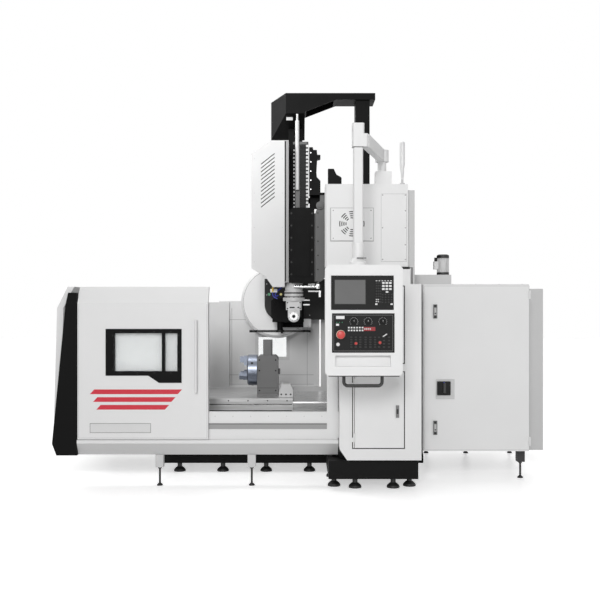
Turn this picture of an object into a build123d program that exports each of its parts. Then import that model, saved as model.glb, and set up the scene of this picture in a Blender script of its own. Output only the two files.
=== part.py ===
# Gantry milling machine: a table that travels along X on a fixed bed, between two columns that
# carry a crossbeam along Y, with a saddle and a vertical head that holds an angle milling head.
# Millimetres, +Z up, the floor at z = 0, the operator's side towards -Y.
# Inside the functions X is measured from the spindle axis and Y from the middle of the table.
# Each piece is moved to the middle of the footprint when it is written.
from math import atan2, cos, degrees, hypot, radians, sin

from build123d import *
import os

os.makedirs("parts", exist_ok=True)

# Gaps between pieces that slide or turn on each other, and between sheet panels
SEAT_GAP = 0.3
PANEL_GAP = 5.0
DOOR_GAP = 6.0

# Table, drawn at the left end of a travel that is as long as the table
TABLE_LENGTH = 1700.0
TABLE_RIGHT = -6.0
TABLE_HALF_WIDTH = 550.0
TABLE_TOP = 745.0
TABLE_THICKNESS = 128.0
TABLE_LEFT = TABLE_RIGHT - TABLE_LENGTH
TABLE_TRAVEL = TABLE_LENGTH
SLOT_COUNT = 7
SLOT_PITCH = 150.0
SLOT_MOUTH = 22.0
SLOT_DEPTH = 38.0
SLOT_FOOT = 37.0
SLOT_FOOT_HEIGHT = 16.0
SIDE_GROOVE_DROP = 62.0
SIDE_GROOVE = 10.0
TABLE_CLEARANCE = 15.0
RUNNER_INSET = 60.0

# Telescopic way covers: hoods nested one over the other between the table and the bed's ends
COVER_STAGES = 5
COVER_SPARE = 29.0
COVER_OVERLAP = 84.2
COVER_PLATE = (TABLE_LENGTH + COVER_SPARE) / COVER_STAGES + COVER_OVERLAP
COVER_END = -TABLE_LEFT + COVER_PLATE + COVER_SPARE
COVER_SHEET = 3.0
COVER_BEVEL = 12.0
COVER_STEP = 9.0
COVER_DROP = 39.0
COVER_TOP = TABLE_TOP - COVER_DROP
COVER_HALF_WIDTH = TABLE_HALF_WIDTH - 30.0
COVER_SKIRT_HEIGHT = 146.0
COVER_FLANGE = 20.0
BULKHEAD = 15.0
WIPER_LENGTH = 12.0

# Bed, guideways and feet
BED_HALF_LENGTH = 1311.0
BED_HALF_WIDTH = TABLE_HALF_WIDTH + TABLE_CLEARANCE - SEAT_GAP
BED_BOTTOM = 94.0
BED_TOP = 420.0
BED_FLANGE_HEIGHT = 70.0
BED_RIM_HEIGHT = 30.0
BED_WAIST = 40.0
WAY_HALF_LENGTH = COVER_END - BULKHEAD
WAY_BEAM_DEPTH = 100.0
WAY_Y = 350.0
WAY_WIDTH = 90.0
WAY_TOP = 560.0
WAY_FOOT_HEIGHT = 30.0
WAY_HEAD_HEIGHT = 25.0
WAY_SLOPE = 15.0
FOOT_END_INSET = 152.0
FOOT_FIRST_X = FOOT_END_INSET - BED_HALF_LENGTH
FOOT_PITCH = 440.0
FOOT_INSET = 80.0
FOOT_ROWS = int((BED_HALF_LENGTH - FOOT_FIRST_X - FOOT_INSET) // FOOT_PITCH) + 1
FOOT_RADIUS = 60.0
FOOT_RIM = 12.0
FOOT_DOME = 48.0
FOOT_NECK_RADIUS = 24.0
LEG_PAD_RADIUS = 28.0
LEG_PAD_RIM = 8.0
LEG_PAD_CONE = 26.0
LEG_ROD_RADIUS = 10.0
LEG_NUT_RADIUS = 20.0
LEG_NUT_HEIGHT = 14.0
LEG_HALF = 37.0
LEG_DROP = 118.0

# Enclosure, the same distance from the table's middle on both sides
WALL_Y = 1200.0
WALL_THICKNESS = 50.0
WALL_TOP = 1713.0
ENCLOSURE_LEFT = -(COVER_END + 80.0)
ENCLOSURE_FLOOR = 292.0
SKIRT_TOP = 405.0
SKIRT_LEDGE = 436.0
SILL_TOP = 691.0
SILL_RETURN_BOTTOM = 450.0
SKIRT_TOE = 45.0
END_PANEL = 60.0
END_SHOULDER = 1665.0
END_TOP = 1864.0
END_LOW_EDGE = 400.0
END_TOE = 42.0
END_LEAN = 34.0
END_CUT = 100.0
TRIM_TOP = 1808.0
TRIM_CUT_X = 82.0
TRIM_CUT_Z = 111.0
TRIM_NARROW_X = 107.0
WALL_LEFT_INSET = 126.0
ENCLOSURE_FEET_X = (-1251.0, -388.0)

# Sliding doors; the near one is drawn open and the far one closed
DOORWAY_RIGHT = 317.0
DOOR_OVERLAP = 108.0
DOOR_END_INSET = 240.0
DOORWAY_LEFT = (ENCLOSURE_LEFT + DOOR_END_INSET + DOORWAY_RIGHT + DOOR_OVERLAP) / 2
POST_WIDTH = 104.0
POST_TOP = 1870.0
DOOR_WIDTH = DOORWAY_RIGHT - DOORWAY_LEFT + DOOR_OVERLAP
DOOR_STOP = 17.0
DOOR_TRAVEL = DOORWAY_RIGHT - DOORWAY_LEFT - DOOR_STOP
DOOR_LEFT = DOORWAY_LEFT - DOOR_WIDTH
DOOR_THICKNESS = 50.0
DOOR_BOTTOM = 442.0
DOOR_HOOD_RISE = 151.0
DOOR_HOOD_LEAN = 90.0
DOOR_BEND_RISE = 12.0
FAR_RIM = 15.0
RAIL_BOTTOM = 532.0
RAIL_TOP = 586.0
WINDOW_INSET = 262.0
WINDOW_RIGHT_INSET = 246.0
WINDOW_WIDTH = DOOR_WIDTH - WINDOW_INSET - WINDOW_RIGHT_INSET
WINDOW_BOTTOM = 1036.0
WINDOW_TOP = 1471.0
WINDOW_FRAME = 40.0
WINDOW_MULLION = 26.0
SMALL_PANE = 118.0
LATCH_DROP = 67.0
LATCH_WIDTH = 210.0
LATCH_SLOPE = 100.0
FAR_WINDOW_INSET = 434.0
FAR_WINDOW_WIDTH = 420.0
FAR_WINDOW_BOTTOM = 1010.0
FAR_WINDOW_TOP = 1330.0
FRAME_PROUD = 5.0
GLASS_THICKNESS = 8.0
HANDLE_RIGHT_INSET = 110.0
HANDLE_INSET = DOOR_WIDTH - HANDLE_RIGHT_INSET
HANDLE_BOTTOM = 880.0
HANDLE_LENGTH = 674.0
HANDLE_REACH = 42.0
HANDLE_RADIUS = 13.0
STANDOFF_RADIUS = 10.4

# Rotary table with its chuck, and a clamp block, on the table
ROTARY_LEFT = -379.0
ROTARY_WIDTH = 217.0
ROTARY_Y = -361.0
ROTARY_DEPTH = 242.0
ROTARY_TOP = 1164.0
ROTARY_CORNER = 26.0
ROTARY_FLANGE = 22.0
ROTARY_FLANGE_HEIGHT = 30.0
NECK_INSET = 60.0
NECK_WIDTH = 95.0
NECK_TOP = 1324.0
NECK_DEPTH = 142.0
NECK_CORNER = 18.0
PLUG_HEIGHT = 220.0
PLUG_RADIUS = 30.0
PLUG_REACH = 20.0
CHUCK_Z = 1009.0
CHUCK_RADIUS = 160.0
CHUCK_LENGTH = 100.0
CHUCK_BORE = 35.0
JAW_LENGTH = 83.0
JAW_WIDTH = 46.0
JAW_STEP = 64.0
JAW_MARGIN = 12.0
CHUCK_CHAMFER = 8.0
CLAMP_LEFT = -152.0
CLAMP_WIDTH = 145.0
CLAMP_TOP = 872.0
CLAMP_NEAR_Y = -401.0
CLAMP_FAR_Y = -261.0
CLAMP_TOE = 40.0
CLAMP_TAPER = 25.0
CLAMP_FALL = 60.0

# Columns with their covers and cover doors
COLUMN_LEFT = 430.0
COLUMN_RIGHT = 1100.0
COLUMN_INNER_Y = 860.0
COLUMN_OUTER_Y = 1240.0
COLUMN_TOP = 2041.0
COLUMN_BASE_LEFT = 326.0
COLUMN_BASE_RIGHT = 1146.0
COLUMN_BASE_Y = 1405.0
COLUMN_BASE_BOTTOM = 104.0
COLUMN_BASE_TOP = 272.0
COLUMN_FEET = (
    (384.0, 1190.0), (576.0, 1265.0), (930.0, 1265.0), (1090.0, 1190.0),
    (384.0, 760.0), (1090.0, 760.0),
)
COLUMN_RIB = 160.0
SHOULDER_INSET = 40.0
SHOULDER_HEIGHT = 128.0
COLUMN_POCKETS = 3
COLUMN_POCKET_PITCH = 520.0
COLUMN_POCKET_HEIGHT = 420.0
COLUMN_POCKET_DEPTH = 60.0
COVER_FRONT_Y = 1465.0
COVER_LEFT = 425.0
COVER_RIGHT = 1166.0
COVER_WALL = 25.0
COVER_BOTTOM = COLUMN_BASE_TOP + 15.0
COVER_SHOULDER = 1885.0
COVER_NECK_TOP = 2020.0
COVER_NECK_RIGHT = 1064.0
COVER_CUT_X = 67.0
COVER_CUT_Z = 97.0
COLUMN_DOOR_LEFT = 555.0
COLUMN_DOOR_RIGHT = 1012.0
LOWER_DOOR_BOTTOM = 394.0
LOWER_DOOR_TOP = 1090.0
UPPER_DOOR_BOTTOM = 1165.0
UPPER_DOOR_TOP = 1867.0
PANEL_THICKNESS = 20.0
CATCH_WIDTH = 26.0
CATCH_HEIGHT = 106.0
CATCH_INSET = 60.0
CATCH_PLATE = 4.0
CATCH_REACH = 14.0
CATCH_ABOVE = 354.0

# Hinge barrels of the cabinet doors
HINGE_RADIUS = 9.0
HINGE_HALF = 40.0
HINGE_INSET = 60.0
HINGE_LEAF = 5.0
HINGE_LEAF_WIDTH = 30.0

# Crossbeam and its end boxes
BEAM_LEFT = 350.0
BEAM_RIGHT = 950.0
BEAM_TOP = 2750.0
BEAM_HALF_LENGTH = 1180.0
BEAM_RAIL = 60.0
BEAM_RAIL_HEIGHT = 30.0
BEAM_RAIL_INSET = 110.0
BEAM_POCKET_DEPTH = 60.0
BEAM_POCKETS = 5
BEAM_POCKET_PITCH = 440.0
BEAM_POCKET_LENGTH = 330.0
BEAM_POCKET_HEIGHT = 430.0
BOX_LEFT = 296.0
BOX_RIGHT = 1052.0
BOX_TOP = 2800.0
BOX_FRONT_Y = 1400.0
BOX_BACK_Y = 1190.0
BOX_CORNER = 12.0
SIDE_BOX_RIGHT = 1126.0
SIDE_BOX_TOP = 2756.0
SIDE_BOX_SHEET = 20.0
SIDE_BOX_INNER_Y = 1010.0
SIDE_BOX_OUTER_Y = 1302.0
FAN_PANEL = (348.0, 732.0, 2282.0, 2576.0)
FAN_PANEL_PROUD = 22.0
FAN_X = 538.0
FAN_Z = 2435.0
FAN_GROUPS = 8
FAN_SLOT = 9.0
FAN_SLOT_DEPTH = 12.0
FAN_RINGS = ((54.0, 20.0), (73.0, 21.0), (92.0, 22.0), (111.0, 23.0))

# Guard round the right half of the bed
GUARD_LEFT = COVER_RIGHT
GUARD_RIGHT = COVER_END + 347.0
GUARD_SHEET = 25.0
GUARD_HALF_WIDTH = TABLE_HALF_WIDTH + TABLE_CLEARANCE + GUARD_SHEET
GUARD_RIM = 45.0
GUARD_BOTTOM = 230.0
GUARD_TOP = 1853.0
GUARD_FEET_INSETS = (62.0, 562.0, 1012.0)

# Electrical cabinet, with its back against the guard
CABINET_LEFT = 1237.0
CABINET_RIGHT = 2255.0
CABINET_BOTTOM = 293.0
CABINET_TOP = 1891.0
CABINET_FRONT_Y = -1050.0
CABINET_BACK_Y = -GUARD_HALF_WIDTH
CABINET_SHELL = 20.0
CABINET_RIM = 40.0
CABINET_FOOT_X = 2222.0
CABINET_FOOT_Y = -826.0
CABINET_LEG_DROP = 132.0
CABINET_DOOR = 24.0
SWITCH_X = 1437.0
SWITCH_Z = 905.0
SWITCH_PLATE = 140.0
SWITCH_RADIUS = 48.0
SWITCH_BASE = 10.0
SWITCH_BOSS = 30.0
SWITCH_REACH = 52.0
SWITCH_KNOB = 11.0
CABINET_CATCH_LOW = 230.0
CABINET_CATCH_HIGH = 260.0

# Fan motor on its shelf over the cabinet
SHELF_LEFT = 1131.0
SHELF_RIGHT = 1526.0
SHELF_NEAR_Y = -950.0
SHELF_FAR_Y = -700.0
SHELF_TOP = 1984.0
MOTOR_X = 1465.0
MOTOR_Y = -825.0
MOTOR_RADIUS = 60.0
MOTOR_TOP = 2182.0
MOTOR_CAP = 26.0
MOTOR_FINS = 24
MOTOR_FIN_THICKNESS = 3.0
MOTOR_FIN_HEIGHT = 14.0
MOTOR_CORE = 48.0
MOTOR_BEVEL = 8.0
TERMINAL_REACH = 30.0
TERMINAL_HALF = 30.0

# Signal lamp on the near end box
LAMP_X = 1020.0
LAMP_Y = -1230.0
LAMP_RADIUS = 24.0
LAMP_TOP = 3215.0
LAMP_FOOT_RADIUS = 22.0
LAMP_FOOT_TOP = BOX_TOP + 30.0
LAMP_STEM_RADIUS = 10.0
LAMP_STEM_TOP = BOX_TOP + 74.0
LAMP_TAPER_TOP = BOX_TOP + 205.0
LAMP_CAP = 8.0

# Saddle, head and spindle, with the head at the top of its stroke
HEAD_STROKE = 540.0
HEAD_Y = -100.0
SADDLE_LEFT = 227.0
SADDLE_RIGHT = 343.0
SADDLE_BOTTOM = 1935.0
SADDLE_TOP = 2790.0
SADDLE_TOE = 60.0
SADDLE_SHOULDER = 140.0
SADDLE_SETBACK = 50.0
BRIDGE_FAR_Y = 140.0
SADDLE_HALF_WIDTH = 250.0
BRIDGE_THICKNESS = 60.0
GUIDE_OFFSET = 100.0
GUIDE_WIDTH = 40.0
HEAD_LEFT = -53.0
HEAD_RIGHT = 215.0
HEAD_BOTTOM = 1919.0
HEAD_TOP = 2707.0
HEAD_HALF_WIDTH = 150.0
HEAD_TOE_X = 23.0
HEAD_TOE_Z = 60.0
HEAD_TOP_CUT_X = 45.0
HEAD_TOP_CUT_Z = 30.0
HEAD_HEEL_X = 30.0
HEAD_HEEL_Z = 20.0
TRUNK_LEFT = -8.0
TRUNK_RIGHT = 154.0
TRUNK_TOP = 3420.0
TRUNK_HALF_WIDTH = 90.0
TRUNK_Y = -30.0
TRUNK_CORNER = 20.0
CHAIN_LEFT = 62.0
CHAIN_RIGHT = 150.0
CHAIN_DEPTH = 34.0
CHAIN_PITCH = 40.0
CHAIN_LINKS = 17
CHAIN_NOTCH = 8.0
CHAIN_RECESS = 5.0
CHAIN_GAP = 3.0
LIFT_MOTOR_LEFT = 162.0
LIFT_MOTOR_RIGHT = 281.0
LIFT_MOTOR_TOP = 3355.0
LIFT_MOTOR_HALF = 58.0
LIFT_SEAT_HEIGHT = 25.0
LIFT_SEAT_RIGHT = 354.0
LIFT_MOTOR_STEPS = (
    (81.0, 0.0), (75.0, 29.0), (38.0, 29.0), (34.0, 78.0), (0.0, 82.0), (0.0, 118.0),
    (34.0, 126.0), (38.0, 200.0), (42.0, 270.0), (38.0, 316.0), (18.0, 336.0), (0.0, 356.0),
)
BRACKET_LEFT = 362.0
BRACKET_RIGHT = 505.0
BRACKET_TOP = 3129.0
BRACKET_STEP = 84.0
BRACKET_DEPTH = 90.0
BRACKET_CREST = 60.0
BRACKET_SLOPE_X = 90.0
BRACKET_SLOPE_Z = 22.0
BRACKET_EDGE = 12.0
MAST_LEFT = -60.0
MAST_RIGHT = 92.0
MAST_NEAR_Y = 107.0
MAST_FAR_Y = 152.0
MAST_BOTTOM = 2700.0
CYLINDER_X = 36.0
CYLINDER_Y = -146.0
CYLINDER_RADIUS = 20.0
CYLINDER_BOTTOM = 2905.0
ROD_RADIUS = 11.0
ROD_LENGTH = 72.0

# Sheet cover on the left of the head
HOOD_LEFT = -440.0
HOOD_RIGHT = HEAD_LEFT
HOOD_STRIP = 43.0
HOOD_TOP = 3401.0
HOOD_BOTTOM = 1876.0
HOOD_HALF_WIDTH = 200.0
HOOD_TOP_CUT_X = 209.0
HOOD_TOP_CUT_Z = 135.0
HOOD_KNEE_X = 141.0
HOOD_KNEE_Z = 114.0
HOOD_SIDE_Z = 194.0
HOOD_HEEL_X = 219.0
HOOD_LIP = 6.0
VENT_COUNT = 12
VENT_PITCH = 40.6
VENT_FIRST_Z = 2700.0
VENT_LEFT = -341.0
VENT_RUN = 142.0
VENT_RISE = 112.0
VENT_WIDTH = 12.0
VENT_DEPTH = 8.0

# Spindle nose, angle milling head and its spindle
SPINDLE_RING_RADIUS = 100.0
SPINDLE_RING_BOTTOM = 1778.0
SPINDLE_FLANGE_RADIUS = 115.0
SPINDLE_FLANGE_BOTTOM = 1729.0
SPINDLE_FLANGE_HEIGHT = 38.0
SPINDLE_NECK_RADIUS = 70.0
SPINDLE_EDGE = 6.0
SPINDLE_RING_HEIGHT = 62.0
SPINDLE_GROOVE = 10.0
ANGLE_BODY_WIDTH = 167.0
ANGLE_BODY_BOTTOM = 1634.0
ANGLE_NECK_WIDTH = 126.0
ANGLE_CORNER = 22.0
ANGLE_NOSE_Z = 1568.0
ANGLE_NOSE_RADIUS = 54.0
ANGLE_BORE_RADIUS = 17.0
ANGLE_SPINDLE_LENGTH = 60.0
ANGLE_COLLAR_LENGTH = 27.0
ANGLE_TIP_RADIUS = 43.0

# Gallows over the saddle
GALLOWS_TOP = 3929.0
GALLOWS_BEAM_DEPTH = 69.0
GALLOWS_BEAM_BOTTOM = GALLOWS_TOP - GALLOWS_BEAM_DEPTH
GALLOWS_POST_LEFT = 655.0
GALLOWS_POST_RIGHT = 804.0
GALLOWS_POST_NEAR_Y = -120.0
GALLOWS_POST_FAR_Y = 100.0
GUSSET_RUN = 90.0
GUSSET_RISE = 140.0
GUSSET_THICKNESS = 20.0
GUSSET_Y = -25.0
GALLOWS_RIGHT = 861.0
GALLOWS_NEAR_Y = -150.0
GALLOWS_FAR_Y = 180.0
GALLOWS_HAUNCH_X = 450.0
GALLOWS_HOOD_RIGHT = 116.0
GALLOWS_HOOD_DEPTH = 214.0
GALLOWS_LIP = 17.0
GALLOWS_HOOD_FAR_DEPTH = 418.0
GALLOWS_PLATE = 14.0
GALLOWS_HOOD_NEAR_LEFT = -85.0
GALLOWS_HOOD_FAR_LEFT = -255.0
GALLOWS_HOOD_FAR_Y = 306.0

# Tool magazine and changer
MAGAZINE_X = -209.0
MAGAZINE_Z = 1714.0
MAGAZINE_RADIUS = 428.0
MAGAZINE_NEAR_Y = 1015.0
MAGAZINE_DEPTH = 165.0
MAGAZINE_RIM = 24.0
PLATE_LEFT = -355.0
PLATE_BOTTOM = 1507.0
PLATE_TOP = 1990.0
PLATE_THICKNESS = 40.0
PLATE_CORNER = 175.0
FRAME_LEFT = -146.0
FRAME_RIGHT = 124.0
FRAME_BOTTOM = 1418.0
FRAME_RIM = 30.0
FRAME_DEPTH = 70.0
CHANGER_HALF_WIDTH = 100.0
CHANGER_TOP = 1760.0
CHANGER_NEAR = 60.0
CHANGER_CUT = 30.0
ARM_X = -164.0
ARM_Y = 640.0
ARM_BOTTOM = 1370.0
ARM_THICKNESS = 25.0
ARM_GRIP_REACH = 300.0
ARM_GRIP_RADIUS = 34.0
ARM_CLAW_RADIUS = 52.0
ARM_HALF_WIDTH = 34.0
ARM_SHAFT_RADIUS = 34.0
ARM_HUB_RADIUS = 56.0
ARM_MOUTH = 47.6

# Pendant: base on the near end box, swing arm with its drop tube, and the console
PENDANT_X = 820.0
PENDANT_Y = -1330.0
PENDANT_BASE_TOP = 2918.0
PENDANT_BASE_X = (PENDANT_X - 62.0, PENDANT_X + 85.0)
PENDANT_BASE_Y = (PENDANT_Y - 60.0, PENDANT_Y + 80.0)
PENDANT_NECK_RADIUS = 40.0
PENDANT_ARM_BOTTOM = 3010.0
PENDANT_ARM_TOP = 3118.0
PENDANT_ARM_WIDTH = 62.0
PENDANT_KNUCKLE_RADIUS = 62.0
PENDANT_ARM_OFFSET = 62.0
ELBOW_X = 548.0
ELBOW_Y = -2110.0
ELBOW_HALF = 50.0
ELBOW_TOP = 3206.0
TUBE_SIZE = 80.0
TUBE_CORNER = 12.0
ELBOW_CORNER = 16.0
TUBE_BOTTOM = 2214.0
CONSOLE_LEFT = 272.0
CONSOLE_RIGHT = 910.0
CONSOLE_BOTTOM = 1110.0
CONSOLE_TOP = 2030.0
CONSOLE_FRONT_Y = -2200.0
CONSOLE_BACK_Y = -2020.0
CONSOLE_CORNER = 30.0
CONSOLE_BACK_STEP = 60.0
CONSOLE_BACK_INSET = 60.0
SWIVEL_RADIUS = 70.0
SWIVEL_NECK_RADIUS = 48.0
SWIVEL_FLANGE = 24.0
SWIVEL_SHOULDER = 58.0
SCREEN = (319.0, 836.0, 1657.0, 1942.0)
KEYS = (326.0, 844.0, 1305.0, 1632.0)
TRAY = (355.0, 811.0, 1193.0, 1284.0)
SCREEN_DEPTH = 6.0
KEYS_DEPTH = 4.0
TRAY_DEPTH = 60.0
GRIP_LEFT = 430.0
GRIP_RIGHT = 748.0
GRIP_BOTTOM = 1012.0
GRIP_RADIUS = 14.0
GRIP_BEND = 34.0
GRIP_SEAT = 5.0

# The footprint reaches from the left end panel to the right guard, and from the console's
# front to the far column's cover.
FOOTPRINT_CENTRE = (
    (ENCLOSURE_LEFT + GUARD_RIGHT) / 2,
    (CONSOLE_FRONT_Y + COVER_FRONT_Y) / 2,
)
TO_FOOTPRINT_CENTRE = Location((-FOOTPRINT_CENTRE[0], -FOOTPRINT_CENTRE[1], 0))

NEAR = -1
FAR = 1
BOTH_SIDES = (NEAR, FAR)


def save(piece, name):
    """Move a finished piece to the middle of the footprint, label it and write it."""
    solid = piece.part.moved(TO_FOOTPRINT_CENTRE)
    solid.label = name
    export_step(solid, f"parts/{name}.step")


def block(x, y, z, mode=Mode.ADD):
    """A box over three ranges."""
    with Locations(((x[0] + x[1]) / 2, (y[0] + y[1]) / 2, (z[0] + z[1]) / 2)):
        Box(abs(x[1] - x[0]), abs(y[1] - y[0]), abs(z[1] - z[0]), mode=mode)


def from_side(points, y, mode=Mode.ADD):
    """An XZ outline, drawn as the operator sees it, extruded over a range of Y."""
    with BuildSketch(Plane.XZ.offset(-max(y))) as outline:
        with BuildLine():
            Polyline(*points, close=True)
        make_face()
    extrude(outline.sketch, amount=abs(y[1] - y[0]), mode=mode)


def from_end(points, x, mode=Mode.ADD):
    """A YZ outline extruded over a range of X."""
    with BuildSketch(Plane.YZ.offset(min(x))) as outline:
        with BuildLine():
            Polyline(*points, close=True)
        make_face()
    extrude(outline.sketch, amount=abs(x[1] - x[0]), mode=mode)


def from_top(points, z, mode=Mode.ADD):
    """An XY outline extruded over a range of Z."""
    with BuildSketch(Plane.XY.offset(min(z))) as outline:
        with BuildLine():
            Polyline(*points, close=True)
        make_face()
    extrude(outline.sketch, amount=abs(z[1] - z[0]), mode=mode)


def post(centre, radius, z, mode=Mode.ADD):
    """An upright cylinder over a range of Z."""
    with Locations((centre[0], centre[1], z[0])):
        Cylinder(radius, z[1] - z[0], align=(Align.CENTER, Align.CENTER, Align.MIN), mode=mode)


def turned(centre, steps):
    """An upright turned piece: steps are its (radius, z) corners from the bottom up."""
    plane = Plane(origin=(centre[0], centre[1], 0), x_dir=(1, 0, 0), z_dir=(0, -1, 0))
    outline = [(0, steps[0][1])] + list(steps) + [(0, steps[-1][1])]
    with BuildSketch(plane) as section:
        with BuildLine():
            Polyline(*outline, close=True)
        make_face()
    revolve(section.sketch, axis=Axis((centre[0], centre[1], 0), (0, 0, 1)))


def heavy_foot(centre, top):
    """A domed levelling foot under a casting."""
    turned(centre, [(FOOT_RADIUS, 0), (FOOT_RADIUS, FOOT_RIM), (FOOT_RADIUS * 0.9, FOOT_RIM * 2),
                    (FOOT_RADIUS * 0.6, FOOT_DOME * 0.85), (FOOT_NECK_RADIUS, FOOT_DOME),
                    (FOOT_NECK_RADIUS, top)])


def leg_foot(centre, top):
    """A light levelling foot: a coned pad, a rod and its lock nut under a sheet leg."""
    turned(centre, [(LEG_PAD_RADIUS, 0), (LEG_PAD_RADIUS, LEG_PAD_RIM),
                    (LEG_ROD_RADIUS, LEG_PAD_CONE), (LEG_ROD_RADIUS, top)])
    with BuildSketch(Plane.XY.offset(top - LEG_NUT_HEIGHT)) as nut:
        with Locations(centre):
            RegularPolygon(LEG_NUT_RADIUS, 6)
    extrude(nut.sketch, amount=LEG_NUT_HEIGHT)


def leg(centre, bottom, top):
    """A square leg on its light foot."""
    block((centre[0] - LEG_HALF, centre[0] + LEG_HALF), (centre[1] - LEG_HALF, centre[1] + LEG_HALF),
          (bottom, top))
    leg_foot(centre, bottom)


def bed():
    """Cast bed: flanged foot, waisted sides, a beam that runs on to the ends and two ways."""
    flange = BED_BOTTOM + BED_FLANGE_HEIGHT
    waist = BED_HALF_WIDTH - BED_WAIST
    rim = BED_TOP - BED_RIM_HEIGHT
    half_section = [
        (BED_HALF_WIDTH, BED_BOTTOM), (BED_HALF_WIDTH, flange), (waist, flange + BED_WAIST),
        (waist, rim - BED_WAIST), (BED_HALF_WIDTH, rim), (BED_HALF_WIDTH, BED_TOP),
    ]
    mirrored = [(-y, z) for y, z in reversed(half_section)]
    beam_half = WAY_Y + WAY_WIDTH
    foot = BED_TOP + WAY_FOOT_HEIGHT
    head = WAY_TOP - WAY_HEAD_HEIGHT
    undercut = WAY_WIDTH / 6
    with BuildPart() as casting:
        from_end(half_section + mirrored, (-BED_HALF_LENGTH, BED_HALF_LENGTH))
        block((-WAY_HALF_LENGTH, WAY_HALF_LENGTH), (-beam_half, beam_half),
              (BED_TOP - WAY_BEAM_DEPTH, BED_TOP))
        for side in BOTH_SIDES:
            near_edge = side * WAY_Y - WAY_WIDTH / 2
            far_edge = side * WAY_Y + WAY_WIDTH / 2
            from_end([(near_edge, BED_TOP), (near_edge, foot),
                      (near_edge + undercut, foot + 2 * WAY_SLOPE),
                      (near_edge + undercut, head - WAY_SLOPE), (near_edge, head),
                      (near_edge, WAY_TOP), (far_edge, WAY_TOP), (far_edge, head),
                      (far_edge - undercut, head - WAY_SLOPE),
                      (far_edge - undercut, foot + 2 * WAY_SLOPE), (far_edge, foot),
                      (far_edge, BED_TOP)], (-WAY_HALF_LENGTH, WAY_HALF_LENGTH))
    save(casting, "bed")


def feet():
    """Domed feet under the bed and columns, and the legs of the enclosure, guard and cabinet."""
    with BuildPart() as pads:
        for side in BOTH_SIDES:
            for index in range(FOOT_ROWS):
                x = FOOT_FIRST_X + index * FOOT_PITCH
                heavy_foot((x, side * (BED_HALF_WIDTH - FOOT_INSET)), BED_BOTTOM)
            for x, y in COLUMN_FEET:
                heavy_foot((x, side * y), COLUMN_BASE_BOTTOM)
            for x in ENCLOSURE_FEET_X:
                leg((x, side * (WALL_Y - WALL_THICKNESS / 2)), ENCLOSURE_FLOOR - LEG_DROP,
                    ENCLOSURE_FLOOR)
        for inset in GUARD_FEET_INSETS:
            leg((GUARD_RIGHT - inset, GUARD_HALF_WIDTH - LEG_HALF), GUARD_BOTTOM - LEG_DROP,
                GUARD_BOTTOM)
        leg((CABINET_FOOT_X, CABINET_FOOT_Y), CABINET_BOTTOM - CABINET_LEG_DROP, CABINET_BOTTOM)
    save(pads, "feet")


def columns():
    """The two cast columns: bases that reach the bed, shoulders and cored pockets."""
    pocket_x = (COLUMN_LEFT + COLUMN_RIB, COLUMN_RIGHT - COLUMN_RIB)
    with BuildPart() as castings:
        for side in BOTH_SIDES:
            y = (side * COLUMN_INNER_Y, side * COLUMN_OUTER_Y)
            block((COLUMN_BASE_LEFT, COLUMN_BASE_RIGHT),
                  (side * (BED_HALF_WIDTH + SEAT_GAP), side * COLUMN_BASE_Y),
                  (COLUMN_BASE_BOTTOM, COLUMN_BASE_TOP))
            block((COLUMN_LEFT, COLUMN_RIGHT), y, (COLUMN_BASE_TOP, COLUMN_TOP))
            from_side([(COLUMN_BASE_LEFT + SHOULDER_INSET, COLUMN_BASE_TOP),
                       (COLUMN_LEFT, COLUMN_BASE_TOP + SHOULDER_HEIGHT),
                       (COLUMN_LEFT, COLUMN_BASE_TOP)],
                      (side * COLUMN_INNER_Y, side * (WALL_Y - WALL_THICKNESS - PANEL_GAP)))
            inner = side * COLUMN_INNER_Y
            for index in range(COLUMN_POCKETS):
                low = COLUMN_BASE_TOP + COLUMN_RIB + index * COLUMN_POCKET_PITCH
                block(pocket_x, (inner, inner + side * COLUMN_POCKET_DEPTH),
                      (low, low + COLUMN_POCKET_HEIGHT), mode=Mode.SUBTRACT)
    save(castings, "columns")


def cover_outline():
    """A column cover's outline with its cut corner and its narrower top."""
    return [
        (COVER_LEFT + COVER_CUT_X, COVER_BOTTOM), (COVER_RIGHT, COVER_BOTTOM),
        (COVER_RIGHT, COVER_SHOULDER), (COVER_NECK_RIGHT, COVER_SHOULDER),
        (COVER_NECK_RIGHT, COVER_NECK_TOP), (COVER_LEFT, COVER_NECK_TOP),
        (COVER_LEFT, COVER_BOTTOM + COVER_CUT_Z),
    ]


def hinge_barrels(x, y, low, high, carried):
    """Two hinge barrels on an upright axis: the upper half of each turns with the door."""
    for start in (low + HINGE_INSET, high - HINGE_INSET - 2 * HINGE_HALF):
        if carried:
            post((x, y), HINGE_RADIUS, (start + HINGE_HALF, start + 2 * HINGE_HALF))
        else:
            post((x, y), HINGE_RADIUS, (start, start + HINGE_HALF - SEAT_GAP))


def hinge_leaves(x, y, low, high, carried):
    """The leaves that fasten the hinge barrels, flat boxes over the ranges x and y."""
    for start in (low + HINGE_INSET, high - HINGE_INSET - 2 * HINGE_HALF):
        if carried:
            block(x, y, (start + HINGE_HALF, start + 2 * HINGE_HALF))
        else:
            block(x, y, (start, start + HINGE_HALF - SEAT_GAP))


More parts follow.
